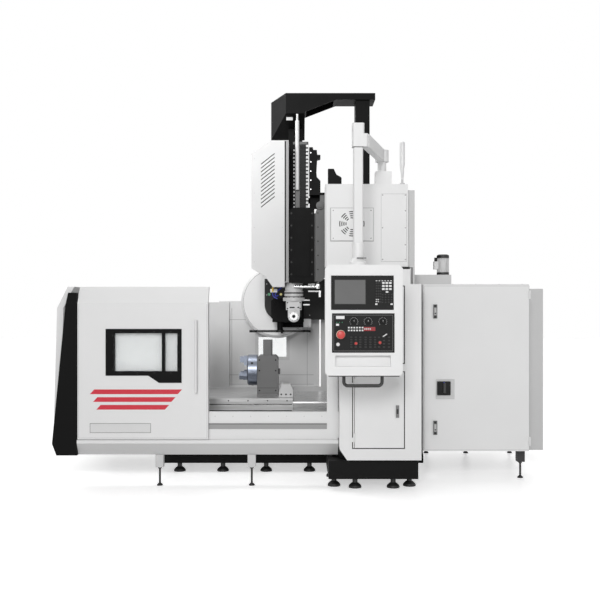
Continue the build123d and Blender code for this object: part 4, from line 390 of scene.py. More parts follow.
LEG_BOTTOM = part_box("feet")[1].z - LEG_LENGTH * MM
GRIP_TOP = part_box("console")[0].z + GRIP_HEIGHT * MM
MAKERS = {
    "white_coat": powder_coat(grey(226), 0.42),
    # Walls and sills: grey 198 below the skirt's top is painted shade of the slanted skirt
    "skirted_coat": powder_coat(grey(226), 0.42, 0.03, ((2, 0.0, SKIRT_TOP * MM), grey(198))),
    # Upper boxes: grey 196 past the box's right end is painted shade on the set-back side strip
    "boxed_coat": powder_coat(grey(228), 0.42, 0.03,
                              ((0, at(BOX_RIGHT, 0, 0).x, BEYOND), grey(196))),
    "console_coat": powder_coat(grey(234), 0.4, 0.02, ((2, 0.0, GRIP_TOP), grey(20))),
    "arm_coat": powder_coat(grey(226), 0.4, 0.02),
    "magazine_coat": powder_coat(grey(246), 0.4, 0.02),
    "plate_coat": powder_coat(grey(50), 0.5, 0.12, gloss=0.2),
    "pale_coat": powder_coat(grey(214), 0.42),
    "cabinet_door_coat": powder_coat(grey(226), 0.42, 0.03, (
        (1, -BEYOND, at(0, CABINET_FRONT - KNOB_REACH, 0).y),
        (2, *(at(0, 0, height).z for height in KNOB_BAND)), grey(24))),
    "rail_coat": powder_coat(grey(152), 0.5),
    # Grey 198: the switch plate's own grey, and painted shade on the guard's sides and end and the
    # cover's side strip
    "shade_coat": powder_coat(grey(198), 0.45),
    "black_coat": powder_coat(grey(15), 0.5, 0.15, gloss=0.06),
    "grey_coat": powder_coat(grey(128), 0.45, 0.05),
    "dark_grey_coat": powder_coat(grey(76), 0.45, 0.1),
    "trunk_coat": powder_coat(grey(88), 0.45, 0.1),
    "cast_black": cast_paint(grey(13), 0.55),
    "cast_grey": cast_paint(grey(124), 0.5),
    "satin_nickel": moulded(grey(222), 0.3),
    "table_iron": ground_metal(grey(196), 0.34, (3.0, 260.0, 60.0)),
    "cover_steel": ground_metal(grey(205), 0.28, (4.0, 180.0, 180.0)),
    "turned_steel": ground_metal(grey(214), 0.22, (90.0, 90.0, 400.0), 0.2),
    "chuck_steel": ground_metal(linear(122, 128, 140), 0.34, (260.0, 40.0, 40.0), 0.25),
    "bright_screw": ground_metal(grey(200), 0.3, (300.0, 300.0, 300.0), 0.1),
    "black_steel": ground_metal(grey(58), 0.42, (30.0, 200.0, 200.0), 0.3),
    "feet_coat": feet_coat,
    "motor_coat": motor_coat,
    "clear_glass": clear_glass,
    "lamp_plastic": lamp_plastic,
    "black_rubber": black_rubber,
    "seam_shadow": moulded(grey(58), 0.8, 0.1),
    "black_plastic": moulded(grey(26), 0.45, 0.15),
    "panel_film": moulded(grey(34), 0.5, 0.12),
    "white_key": moulded(grey(232), 0.4),
    "grey_key": moulded(grey(120), 0.5),
    "red_key": moulded(linear(206, 70, 66), 0.4),
    "red_stripe": moulded(linear(198, 12, 44), 0.35),
    "green_key": moulded(linear(40, 130, 90), 0.45),
    "yellow_ring": moulded(linear(226, 188, 40), 0.45),
    "blue_hose": moulded(linear(44, 56, 170), 0.35),
    "green_hose": moulded(linear(44, 130, 84), 0.35),
    "yellow_hose": moulded(linear(200, 190, 120), 0.4),
    "screen_glass": screen_glass,
    "fold_line": moulded(grey(168), 0.6),
    # Grey of the cabinet's latch levers, and the painted shadow ring round the fan's panel
    "seal_grey": moulded(grey(184), 0.6),
    "grey_screw": ground_metal(grey(150), 0.4, (300.0, 300.0, 300.0), 0.1),
    "pale_screw": moulded(grey(205), 0.45),
    "pale_key": moulded(grey(205), 0.45),
    "dark_key": moulded(grey(58), 0.5, 0.2),
    "strip_coat": powder_coat(grey(150), 0.4),
    "red_window": moulded(linear(150, 34, 40), 0.3),
    "cream_ring": moulded(linear(232, 214, 190), 0.45),
    "violet_hose": moulded(linear(96, 70, 170), 0.35),
}

NODE_COATS = {
    "white_coat": ["near_column_cover", "far_column_cover", "lower_column_door",
                   "upper_column_door", "doorway_posts", "near_door", "far_door",
                   "left_end_panel", "electrical_cabinet", "head_cover"],
    "cabinet_door_coat": ["cabinet_door"],
    "rail_coat": ["door_rails"],
    "satin_nickel": ["spindle_housing", "angle_head"],
    "magazine_coat": ["tool_magazine"],
    "plate_coat": ["magazine_plate"],
    "skirted_coat": ["side_walls", "doorway_sills"],
    "boxed_coat": ["beam_end_boxes"],
    "console_coat": ["console"],
    "arm_coat": ["pendant_arm", "pendant_base"],
    # The guard's sides and end are painted in shade
    "shade_coat": ["motor_shelf", "guard_sides", "guard_end"],
    "cast_grey": ["rotary_table"],
    "pale_coat": ["clamp_block", "far_door_window_frame"],
    "dark_grey_coat": ["saddle"],
    "trunk_coat": ["head_trunk"],
    "black_plastic": ["cable_chain"],
    "cast_black": ["bed", "columns", "crossbeam", "head_casting", "lift_motor",
                   "tool_changer", "cable_bracket"],
    "black_coat": ["corner_trims", "gallows_post", "gallows_beam", "gallows_hood",
                   "near_door_window_frame", "head_mast"],
    "table_iron": ["table"],
    "cover_steel": ["way_cover_fixed", "way_cover_1", "way_cover_2", "way_cover_3",
                    "way_cover_4", "way_cover_table"],
    "turned_steel": ["milling_spindle"],
    "white_key": ["balance_cylinder"],
    "chuck_steel": ["chuck"],
    "black_steel": ["tool_arm"],
    "feet_coat": ["feet"],
    "motor_coat": ["pump_motor"],
    "clear_glass": ["near_door_glass", "far_door_glass"],
    "lamp_plastic": ["signal_lamp"],
}


# How far a fitting reaches into the face that it stands on
SINK = 0.5


class Shape:
    """A mesh in the making, joined from bevelled boxes, plates, turned pieces and tubes."""

    def __init__(self):
        self.mesh = bmesh.new()

    def _take(self, other):
        data = bpy.data.meshes.new("part")
        other.to_mesh(data)
        other.free()
        self.mesh.from_mesh(data)
        bpy.data.meshes.remove(data)
        return self

    def box(self, low, high, bevel=1.5 * MM):
        """A box between two corners, with rounded edges."""
        other = bmesh.new()
        low, high = Vector(low), Vector(high)
        size = [max(abs(b - a), 1e-5) for a, b in zip(low, high)]
        matrix = Matrix.Translation((low + high) / 2) @ Matrix.Diagonal((*size, 1))
        bmesh.ops.create_cube(other, size=1, matrix=matrix)
        radius = min(bevel, min(size) * 0.4)
        if radius > 0:
            bmesh.ops.bevel(other, geom=other.edges[:], offset=radius, segments=2, profile=0.7,
                            affect="EDGES")
        return self._take(other)

    def block(self, x, y, z, bevel=1.5):
        """A box over three ranges in the machine's millimetres, with rounded edges."""
        return self.box(at(x[0], y[0], z[0]), at(x[1], y[1], z[1]), bevel * MM)

    def on(self, name, x, z, reach, bevel=0.6, side=NEAR):
        """A block on a node's face, over two ranges, that stands out by a reach."""
        y = face(name, (x[0] + x[1]) / 2, (z[0] + z[1]) / 2, side)
        return self.block(x, (y + side * reach, y - side * SINK), z, bevel)

    def frame_on(self, name, x, z, width, reach, bevel=0.6, side=NEAR):
        """Four strips inside a rectangle on a node's face, standing out by a reach."""
        y = face(name, x[0] + width / 2, (z[0] + z[1]) / 2, side)
        return self.ring(x, z, (y + side * reach, y - side * SINK), width, bevel)

    def ring(self, x, z, y, width, bevel=0.6):
        """Four strips inside a rectangle, over a range of depths."""
        for low, high in ((z[0], z[0] + width), (z[1] - width, z[1])):
            self.block(x, y, (low, high), bevel)
        for low, high in ((x[0], x[0] + width), (x[1] - width, x[1])):
            self.block((low, high), y, (z[0] + width, z[1] - width), bevel)
        return self

    def disc(self, x, y, z, radius, reach, axis=(0, -1, 0), edge=1.5, sides=32):
        """A round boss with a chamfered rim, standing out along an axis."""
        edge = min(edge, reach * 0.5, radius * 0.5)
        profile = [(radius, 0.0), (radius, reach - edge), (radius - edge, reach)]
        return self.turned(profile, at(x, y, z), axis, sides)

    def rod(self, start, end, radius, sides=12):
        """A straight round rod between two points, with narrower ends."""
        start, end = at(*start), at(*end)
        length = (end - start).length / MM
        narrow, edge = radius * 0.8, radius * 0.2
        profile = [(narrow, 0.0), (radius, edge), (radius, length - edge), (narrow, length)]
        return self.turned(profile, start, (end - start).normalized(), sides)

    def plate(self, outline, depth, bevel=1.5 * MM):
        """A closed outline of points, made thick along a vector, with rounded edges."""
        other = bmesh.new()
        face = other.faces.new([other.verts.new(p) for p in outline])
        result = bmesh.ops.extrude_face_region(other, geom=[face])
        moved = [e for e in result["geom"] if isinstance(e, bmesh.types.BMVert)]
        bmesh.ops.translate(other, verts=moved, vec=Vector(depth))
        bmesh.ops.recalc_face_normals(other, faces=other.faces[:])
        if bevel > 0:
            bmesh.ops.bevel(other, geom=other.edges[:], offset=bevel, segments=2, profile=0.7,
                            affect="EDGES", clamp_overlap=True)
        return self._take(other)

    def turned(self, profile, origin, axis, sides=32):
        """A profile of radii and heights in millimetres, turned about an axis."""
        other = bmesh.new()
        turn = Vector((0, 0, 1)).rotation_difference(Vector(axis)).to_matrix().to_4x4()
        matrix = Matrix.Translation(Vector(origin)) @ turn
        rings = []
        for radius, height in ((r * MM, h * MM) for r, h in profile):
            if radius <= 0:
                rings.append([other.verts.new(matrix @ Vector((0, 0, height)))])
                continue
            rings.append([other.verts.new(matrix @ Vector((
                radius * cos(2 * pi * k / sides), radius * sin(2 * pi * k / sides), height)))
                for k in range(sides)])
        for lower, upper in zip(rings, rings[1:]):
            for k in range(sides):
                nearer = (k + 1) % sides
                corners = [lower[k % len(lower)], lower[nearer % len(lower)],
                           upper[nearer % len(upper)], upper[k % len(upper)]]
                if len(set(corners)) > 2:
                    other.faces.new(list(dict.fromkeys(corners)))
        for ring in (rings[0], rings[-1]):
            if len(ring) > 2:
                other.faces.new(ring)
        bmesh.ops.recalc_face_normals(other, faces=other.faces[:])
        return self._take(other)

    def tube(self, points, radius):
        """A round tube along a smooth line near the points, all in millimetres."""
        curve = bpy.data.curves.new("line", "CURVE")
        curve.dimensions = "3D"
        curve.bevel_depth = radius * MM
        curve.bevel_resolution = 2
        curve.use_fill_caps = True
        curve.resolution_u = 8
        spline = curve.splines.new("NURBS")
        spline.points.add(len(points) - 1)
        for point, place in zip(spline.points, points):
            point.co = (*at(*place), 1.0)
        spline.order_u = min(4, len(points))
        spline.use_endpoint_u = True
        holder = bpy.data.objects.new("line", curve)
        bpy.context.scene.collection.objects.link(holder)
        graph = bpy.context.evaluated_depsgraph_get()
        data = bpy.data.meshes.new_from_object(holder.evaluated_get(graph))
        bpy.data.objects.remove(holder)
        bpy.data.curves.remove(curve)
        self.mesh.from_mesh(data)
        bpy.data.meshes.remove(data)
        return self

    def piece(self, name, coat_name, body, slot, smooth=False):
        """Turn the mesh into a named object that rides on a body."""
        data = bpy.data.meshes.new(name)
        self.mesh.to_mesh(data)
        self.mesh.free()
        data.materials.append(coat(coat_name))
        if smooth:
            data.shade_smooth()
            data.set_sharp_from_angle(angle=radians(32))
        piece = bpy.data.objects.new(name, data)
        bpy.context.scene.collection.objects.link(piece)
        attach(piece, body)


class Tree:
    """A Geometry Nodes tree that sets one shape on every point, as a plain mesh of one coat."""

    def __init__(self, name):
        self.tree = bpy.data.node_groups.new(name, "GeometryNodeTree")
        for way in ("INPUT", "OUTPUT"):
            self.tree.interface.new_socket("Geometry", in_out=way,
                                           socket_type="NodeSocketGeometry")
        self.given = self.tree.nodes.new("NodeGroupInput")
        self.identifiers = {}

    def size(self, name, value=None, kind="NodeSocketFloat"):
        """Add a named input with its default."""
        socket = self.tree.interface.new_socket(name, in_out="INPUT", socket_type=kind)
        if value is not None:
            socket.default_value = value
        self.identifiers[name] = socket.identifier
        return self.given.outputs[name]

    def node(self, kind, settings=None, inputs=None):
        """Add a node, settings first, then values or links, and hand over its first output."""
        node = self.tree.nodes.new(kind)
        for name, value in (settings or {}).items():
            setattr(node, name, value)
        for key, value in (inputs or {}).items():
            if isinstance(value, bpy.types.NodeSocket):
                self.tree.links.new(value, node.inputs[key])
            else:
                node.inputs[key].default_value = value
        return node.outputs[0]

    def times(self, first, second):
        """The product of two values."""
        return self.node("ShaderNodeMath", {"operation": "MULTIPLY"}, {0: first, 1: second})

    def moved(self, geometry, **settings):
        """A shape moved, turned or scaled."""
        return self.node("GeometryNodeTransform", inputs={
            "Geometry": geometry, **{name.title(): value for name, value in settings.items()}})

    def vector(self, **parts):
        """A vector from its parts."""
        return self.node("ShaderNodeCombineXYZ",
                         inputs={name.upper(): value for name, value in parts.items()})

    def cone(self, corners, top, bottom):
        """A blunt cone of unit height."""
        return self.node("GeometryNodeMeshCone", {"fill_type": "NGON"}, {
            "Vertices": corners, "Radius Top": top, "Radius Bottom": bottom, "Depth": 1.0})

    def close(self, shape):
        """End the tree with the shape on every point, turned, real and coated."""
        turn = self.size("Turn", (0.0, 0.0, 0.0), "NodeSocketVector")
        material = self.size("Material", kind="NodeSocketMaterial")
        placed = self.node("GeometryNodeInstanceOnPoints", inputs={
            "Points": self.given.outputs["Geometry"], "Instance": shape,
            "Rotation": self.node("FunctionNodeEulerToRotation", inputs={0: turn})})
        real = self.node("GeometryNodeRealizeInstances", inputs={0: placed})
        coated = self.node("GeometryNodeSetMaterial",
                           inputs={"Geometry": real, "Material": material})
        leave = self.tree.nodes.new("NodeGroupOutput")
        self.tree.links.new(coated, leave.inputs[0])
        return self

    def grow(self, name, points, axis, coat_name, body, slot, **sizes):
        """Grow the tree on points, facing along an axis, with its sizes in millimetres."""
        data = bpy.data.meshes.new(name)
        data.from_pydata([tuple(p) for p in points], [], [])
        piece = bpy.data.objects.new(name, data)
        bpy.context.scene.collection.objects.link(piece)
        modifier = piece.modifiers.new(name, "NODES")
        modifier.node_group = self.tree
        modifier[self.identifiers["Material"]] = coat(coat_name)
        modifier[self.identifiers["Turn"]] = TURNS[axis]
        for label, value in sizes.items():
            modifier[self.identifiers[label.capitalize()]] = value * MM
        graph = bpy.context.evaluated_depsgraph_get()
        grown = bpy.data.meshes.new_from_object(piece.evaluated_get(graph))
        piece.modifiers.remove(modifier)
        piece.data = grown
        grown.name = name
        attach(piece, body)


# Euler angles that turn +Z to the directions that fittings face
TURNS = {FRONT: (pi / 2, 0.0, 0.0), BACK: (-pi / 2, 0.0, 0.0), UP: (0.0, 0.0, 0.0)}


def screw_tree():
    """Screws: a round head with a low six-sided point in the middle."""
    tree = Tree("Screws")
    radius = tree.size("Radius", 5 * MM)
    height = tree.size("Height", 4 * MM)
    head = tree.node("GeometryNodeMeshCylinder", {"fill_type": "NGON"}, {
        "Vertices": 14, "Radius": radius, "Depth": height})
    small, lift = tree.times(radius, 0.5), tree.times(height, 0.5)
    point = tree.moved(tree.cone(6, 0.0, 1.0), translation=tree.vector(z=lift),
                       scale=tree.vector(x=small, y=small, z=lift))
    both = tree.node("GeometryNodeJoinGeometry")
    for shape in (head, point):
        tree.tree.links.new(shape, both.node.inputs[0])
    return tree.close(both)


def key_tree():
    """Keys: a block with a smaller top."""
    tree = Tree("Keys")
    size = tree.vector(x=tree.size("Width", 12 * MM), y=tree.size("Length", 12 * MM),
                       z=tree.size("Height", 4 * MM))
    cap = tree.moved(tree.cone(4, 0.58, 0.7071), rotation=(0.0, 0.0, pi / 4))
    return tree.close(tree.moved(cap, scale=size))


def button_tree():
    """Round buttons: a ball, flattened or drawn out."""
    tree = Tree("Buttons")
    radius = tree.size("Radius", 8 * MM)
    ball = tree.node("GeometryNodeMeshUVSphere", inputs={
        "Segments": 16, "Rings": 8, "Radius": 1.0})
    size = tree.vector(x=radius, y=radius, z=tree.size("Height", 8 * MM))
    return tree.close(tree.moved(ball, scale=size))


TREES = {}


def tree(make):
    """One of the three trees, made at its first use."""
    if make not in TREES:
        TREES[make] = make()
    return TREES[make]


def screws(name, points, axis, radius, body, coat_name="bright_screw", height=4.0):
    """Screw heads on points, facing along an axis."""
    tree(screw_tree).grow(name, points, axis, coat_name, body, "steel",
                          radius=radius, height=height)


def keys(name, points, axis, width, length, body, coat_name, height=4.0):
    """Key caps on points, facing along an axis."""
    tree(key_tree).grow(name, points, axis, coat_name, body, "light_grey",
                        width=width, length=length, height=height)


def buttons(name, points, axis, radius, body, coat_name, height=6.0):
    """Domed buttons on points, facing along an axis."""
    tree(button_tree).grow(name, points, axis, coat_name, body, "light_grey",
                           radius=radius, height=height)


def steps(low, high, count):
    """Evenly spaced places from one to another."""
    return [low + (high - low) * index / max(count - 1, 1) for index in range(count)]


def circle(count, start=0.0):
    """Angles evenly round a full turn."""
    return steps(start, start + 2 * pi * (1 - 1 / count), count)


def about(middle, half):
    """The range that reaches equally far to both sides of its middle."""
    return middle - half, middle + half


def inset(reach, by):
    """A range that ends sooner on both sides."""
    return reach[0] + by, reach[1] - by


def pairs(xs, zs):
    """Every pair of places along X and Z."""
    return [(x, z) for x in xs for z in zs]


def points_at(y, places):
    """Points at one depth for places of X and Z."""
    return [at(x, y, z) for x, z in places]


def face_screws(name, node, places, radius, body, coat_name="bright_screw", height=3.0,
                side=NEAR):
    """Screws on a node's face, seen from the operator's side or from behind."""
    points = [at(x, face(node, x, z, side), z) for x, z in places]
    screws(name, points, SIDES[side], radius, body, coat_name, height)


class MachineSizes(bpy.types.PropertyGroup):
    """Sizes of the fittings that a user may change."""

    hose_radius: bpy.props.FloatProperty(
        name="Hose radius", description="Radius of the coolant hoses at the spindle",
        default=6 * MM, min=2 * MM, unit="LENGTH")


class StageSettings(bpy.types.PropertyGroup):
    """Light and background of the studio."""

    key_strength: bpy.props.FloatProperty(
        name="Key light", description="Power of the large lamp in front", default=2150.0)
    fill_strength: bpy.props.FloatProperty(
        name="Fill light", description="Power of the soft lamp on the right", default=40.0)
    top_strength: bpy.props.FloatProperty(
        name="Top light", description="Power of the lamp overhead", default=110.0)
    room_strength: bpy.props.FloatProperty(
        name="Room light", description="Strength of the even light from all round",
        default=0.27)
    inner_strength: bpy.props.FloatProperty(
        name="Inner light", description="Power of the small lamp over the enclosure", default=30.0)


class DressDoors(bpy.types.Operator):
    """Add the red bars, bare sign plate, window screws and fold lines of the sliding doors"""

    bl_idname = "gantry_mill.dress_doors"
    bl_label = "Sliding doors"

    BARS = 3
    BARS_PAST_WINDOW = (147.0, 4.0)
    BARS_BELOW_WINDOW = 61.0
    BAR_HEIGHT = 44.0
    BAR_GAP = 28.0
    BAR_SLANT = 40.0
    BAR_LOSS = 60.0
    SIGN_WIDTH = 568.0
    SIGN_DROPS = (404.0, 315.0)
    SCREW_RING = 14.0
    FOLD_INSET = 12.0
    FOLD_WIDTH = 3.0

    def execute(self, context):
        frame_x, _y, frame_z = span("near_door_window_frame")
        left = frame_x[0] - self.BARS_PAST_WINDOW[0]
        right = frame_x[1] + self.BARS_PAST_WINDOW[1]
        top = frame_z[0] - self.BARS_BELOW_WINDOW
        self.bars(left, right, top)
        sign = ((left, left + self.SIGN_WIDTH), [top - drop for drop in self.SIGN_DROPS])
        Shape().on("near_door", *sign, 1.2).piece(
            "sign_plate", "pale_coat", "near_door", "light_grey")
        Shape().frame_on("near_door", *sign, 4.0, 1.8, 0.3).piece(
            "sign_plate_rim", "grey_key", "near_door", "grey_paint")
        for side, door in ((NEAR, "near_door"), (FAR, "far_door")):
            self.window_screws(door, side)
            self.fold_lines(door, side)
        return DONE

    def bars(self, left, right, top):
        shape = Shape()
        for index in range(self.BARS):
            loss = index * self.BAR_LOSS
            high = top - index * (self.BAR_HEIGHT + self.BAR_GAP)
            low = high - self.BAR_HEIGHT
            y = face("near_door", (left + right) / 2, low) - 0.9
            start, end = left + loss / 2, right - loss
            shape.plate(points_at(y, [(start, low), (end - self.BAR_SLANT, low), (end, high),
                                      (start + self.BAR_SLANT, high)]),
                        (0, 1.2 * MM, 0), 0.3 * MM)
        shape.piece("door_stripes", "red_stripe", "near_door", "grey_paint")

    def window_screws(self, door, side):
        x, _y, z = span(door + "_glass")
        y = face(door + "_window_frame", x[0] - 12.0, sum(z) / 2, side)
        places = pairs(inset(x, -self.SCREW_RING), steps(*inset(z, 20.0), 3))
        places += pairs(steps(*inset(x, 60.0), 4), inset(z, -self.SCREW_RING))
        screws(door + "_window_screws", points_at(y, places), SIDES[side], 5, door,
               "black_steel", 3)

    def fold_lines(self, door, side):
        x, _y, z = span(door)
        low = z[0] + self.FOLD_INSET
        shape = Shape()
        for start in (x[0] + self.FOLD_INSET - self.FOLD_WIDTH, x[1] - self.FOLD_INSET):
            shape.on(door, (start, start + self.FOLD_WIDTH), (low, BEND_Z - self.FOLD_INSET),
                     0.5, 0.2, side)
        shape.on(door, inset(x, self.FOLD_INSET), (low, low + self.FOLD_WIDTH), 0.5, 0.2, side)
        shape.piece(door + "_fold_lines", "fold_line", door, "grey_paint")


class DressWalls(bpy.types.Operator):
    """Add the rails' tracks, the sills' screws and the far door's inner seams"""

    bl_idname = "gantry_mill.dress_walls"
    bl_label = "Side walls"

    SEAM = 5.0
    SEAM_HEIGHTS = (716.0, 830.0, 1500.0)

    def execute(self, context):
        sill, rail = span("doorway_sills"), span("door_rails")
        tracks = Shape()
        for side in SIDES:
            y = face("door_rails", rail[0][1] - 60.0, sum(rail[2]) / 2, side)
            tracks.block(inset(rail[0], 4.0), (y + side, y - side),
                         (rail[2][1] - 12.0, rail[2][1] - 2.0), 0.3)
            places = pairs(steps(sill[0][0] + 60, sill[0][1] - 160, 7), [sill[2][1] - 40.0])
            face_screws("sill_screws_" + SIDE_NAMES[side], "doorway_sills", places, 5, "base",
                        side=side)
        tracks.piece("rail_tracks", "grey_key", "base", "grey_paint")
        door = span("far_door")[0]
        seams = Shape()
        for z in self.SEAM_HEIGHTS:
            seams.on("far_door", inset(door, 70.0), (z, z + self.SEAM), 1.0, 0.3)
        for x in inset(door, 150.0):
            seams.on("far_door", (x, x + self.SEAM), (700.0, 1640.0), 1.0, 0.3)
        seams.piece("far_door_inner_seams", "fold_line", "far_door", "grey_paint")
        return DONE


class DressColumnCover(bpy.types.Operator):
    """Add the painted shade round the doors and on the cover's side, catches, box panel, painted
    shadows under the box and round the fan panel, fan mesh and screws of the near column
    """

    bl_idname = "gantry_mill.dress_column_cover"
    bl_label = "Column cover"

    PANEL_X = (805.0, 1040.0)
    PANEL_Z = (2090.0, 2711.0)
    FAN_CENTRE = (538.0, 2435.0)
    FAN_BACK = 122.0
    FAN_PANEL = ((340.0, 740.0), (2274.0, 2584.0))
    FAN_SCREWS = ((368.0, 712.0), (2302.0, 2556.0))
    GAP_SHADE_OUT = 9.0
    CATCH_DISTANCE = 354.0

    def execute(self, context):
        # Dark rings round the doors: painted shade in the door gaps
        gap_shade = Shape()
        for name in ("lower_column_door", "upper_column_door"):
            x, _y, z = span(name)
            y = face("near_column_cover", x[1] + 12.0, sum(z) / 2)
            gap_shade.ring(inset(x, -self.GAP_SHADE_OUT), inset(z, -self.GAP_SHADE_OUT), (y - 1.0, y + 4.0), 8.0, 0.4)
            self.catch(name, x[1] - 60.0, z)
        gap_shade.piece("column_door_seals", "seam_shadow", "base", "grey_paint")
        self.panel()
        self.fan()
        corner = span("near_column_cover")[0][1]
        # A black block under the upper box: painted shadow
        Shape().block((corner - 200.0, corner - 98.0), (-1409.0, -1395.0), (2024.0, 2044.0),
                      6.0).piece("box_cable_slot", "black_rubber", "base", "black_paint")
        # A grey strip on the cover's side: painted shade, continuing the box's side strip
        Shape().block((1060.0, 1092.0), (-1334.0, -1328.0), (1880.0, 2034.0), 1.0).piece(
            "cover_side_strip", "shade_coat", "base", "light_grey")
        face_screws("far_box_screws", "beam_end_boxes",
                    pairs(steps(360.0, 980.0, 3), (2080.0, 2420.0, 2760.0)), 6, "base",
                    "grey_screw", side=FAR)
        return DONE

    def catch(self, name, x, z):
        lower = name.startswith("lower")
        height = z[1] - self.CATCH_DISTANCE if lower else z[0] + self.CATCH_DISTANCE
        y = face(name, x, height)
        plate = Shape().block(about(x, 15.0), (y - 2.0, y + 3.0), about(height, 56.0), 1.0)
        for end in about(height, 38.0):
            plate.disc(x, y - 1.5, end, 7.0, 3.0)
        plate.piece(name + "_catch", "grey_key", name, "black_paint")
        Shape().block(about(x, 8.0), (y - 8.0, y - 1.5), about(height, 22.0), 2.0).piece(
            name + "_catch_lever", "dark_key", name, "steel")

    def panel(self):
        """The screwed panel on the right of the column's upper box."""
        Shape().frame_on("beam_end_boxes", self.PANEL_X, self.PANEL_Z, 3.0, 0.8, 0.2).piece(
            "box_panel_seam", "fold_line", "base", "grey_paint")
        low, high = self.PANEL_Z
        middle = (low + high) / 2
        right = self.PANEL_X[1] - 12.0
        places = pairs((self.PANEL_X[0] + 14.0, right), (low + 20.0, middle, high - 12.0))
        places += pairs([right], ((low + middle) / 2, (high + middle) / 2))
        face_screws("box_panel_screws", "beam_end_boxes", places, 7, "base", "grey_screw")

    def fan(self):
        """The painted shadow ring round the fan's panel, its screws and the mesh behind the slots.
        """
        y = face("beam_end_boxes", 760.0, 2400.0)
        # Grey ring round the proud panel: painted shadow along its edges
        Shape().ring(*self.FAN_PANEL, (y - 1.0, y + SINK), 9.0, 0.4).piece(
            "fan_panel_seal", "seal_grey", "base", "grey_paint")
        face_screws("fan_panel_screws", "beam_end_boxes", pairs(*self.FAN_SCREWS), 6, "base",
                    "grey_screw")
        x, z = self.FAN_CENTRE
        y = face("beam_end_boxes", x, z)
        Shape().disc(x, y + 10.0, z, self.FAN_BACK, 3.0).piece(
            "fan_mesh", "black_plastic", "base", "black_paint")


class DressCabinet(bpy.types.Operator):
    """Add the cabinet's latches, main switch and screws, and the pump motor's fittings"""

    bl_idname = "gantry_mill.dress_cabinet"
    bl_label = "Electrical cabinet"

    LATCH_X = 1353.0
    LATCH_HEIGHTS = (523.0, 1631.0)
    SWITCH_X = (1369.0, 1498.0)
    SWITCH_Z = (834.0, 966.0)
    FOLD_INSET = 11.0
    COVER_SCREW_RADIUS = 30.0
    COVER_SCREW_ANGLES = (0.8, 2.4, 3.9, 5.5)

    def execute(self, context):
        for index, z in enumerate(self.LATCH_HEIGHTS):
            self.latch(index, z)
        self.switch()
        self.seams()
        self.motor()
        return DONE

    def latch(self, index, z):
        x = self.LATCH_X
        y = face("cabinet_door", x, z)
        Shape().block(about(x, 20.0), (y - 3.0, y + 3.0), about(z, 67.0), 1.4).piece(
            f"cabinet_latch_plate_{index}", "grey_key", "cabinet_door", "steel")
        Shape().block(about(x, 10.0), (y - 12.0, y - 2.5), about(z, 34.0), 3.0).piece(
            f"cabinet_latch_lever_{index}", "seal_grey", "cabinet_door", "steel")
        ends = Shape()
        for end in about(z, 52.0):
            ends.block(about(x, 12.0), (y - 8.0, y - 2.5), about(end, 11.0), 2.0)
        ends.disc(x, y - 11.5, z - 18.0, 7.0, 3.0)
        ends.piece(f"cabinet_latch_ends_{index}", "dark_key", "cabinet_door", "black_paint")

    def switch(self):
        y = CABINET_FRONT
        plate_x = (self.SWITCH_X[0] - 8.0, self.SWITCH_X[1] + 40.0)
        plate_z = (self.SWITCH_Z[0] - 38.0, self.SWITCH_Z[1] + 20.0)
        Shape().block(plate_x, (y - 11.5, y + 1.0), plate_z, 3.0).piece(
            "switch_plate", "shade_coat", "cabinet_door", "grey_paint")
        Shape().block(self.SWITCH_X, (y - 34.0, y - 10.0), self.SWITCH_Z, 12.0).piece(
            "switch_housing", "black_plastic", "cabinet_door", "black_paint")
        buttons("switch_lamp", [at(sum(self.SWITCH_X) / 2, y - 34.0, self.SWITCH_Z[1] - 12.0)],
                FRONT, 6, "cabinet_door", "blue_hose", 4)
        places = pairs(inset(plate_x, 9.0), inset(plate_z, 9.0))
        screws("switch_screws", points_at(y - 11.5, places), FRONT, 4, "cabinet_door", height=3)

    def seams(self):
        x, _y, z = span("cabinet_door")
        Shape().frame_on("cabinet_door", inset(x, self.FOLD_INSET), inset(z, self.FOLD_INSET),
                         2.5, 0.5, 0.2).piece("cabinet_door_folds", "fold_line",
                                              "cabinet_door", "grey_paint")
        x, y, z = span("electrical_cabinet")
        points = [at(px, py, z[1]) for px in steps(*inset(x, 70), 5) for py in inset(y, 60)]
        screws("cabinet_top_screws", points, UP, 7, "base")

    def motor(self):
        x, y, z = span("pump_motor")
        middle, depth = (x[0] + 30.0 + x[1]) / 2, sum(y) / 2
        Shape().disc(middle, depth, z[1], 46.0, 3.0, UP).piece(
            "motor_fan_cover", "grey_key", "base", "black_paint")
        reach = self.COVER_SCREW_RADIUS
        points = [at(middle + reach * cos(a), depth + reach * sin(a), z[1] + 2.5)
                  for a in self.COVER_SCREW_ANGLES]
        screws("motor_cover_screws", points, UP, 4, "base", height=3)
        Shape().block((x[0] + 2.0, x[0] + 30.0), (y[0] + 34.0, y[0] + 44.0),
                      (z[0] + 90.0, z[0] + 170.0), 3.0).piece(
            "terminal_lid", "black_plastic", "base", "black_paint")
        Shape().block(about(middle, 38.0), (y[0] + 4.0, y[0] + 18.0),
                      (z[0] - 44.0, z[0] + 4.0), 6.0).piece(
            "motor_bracket", "grey_coat", "base", "grey_paint")


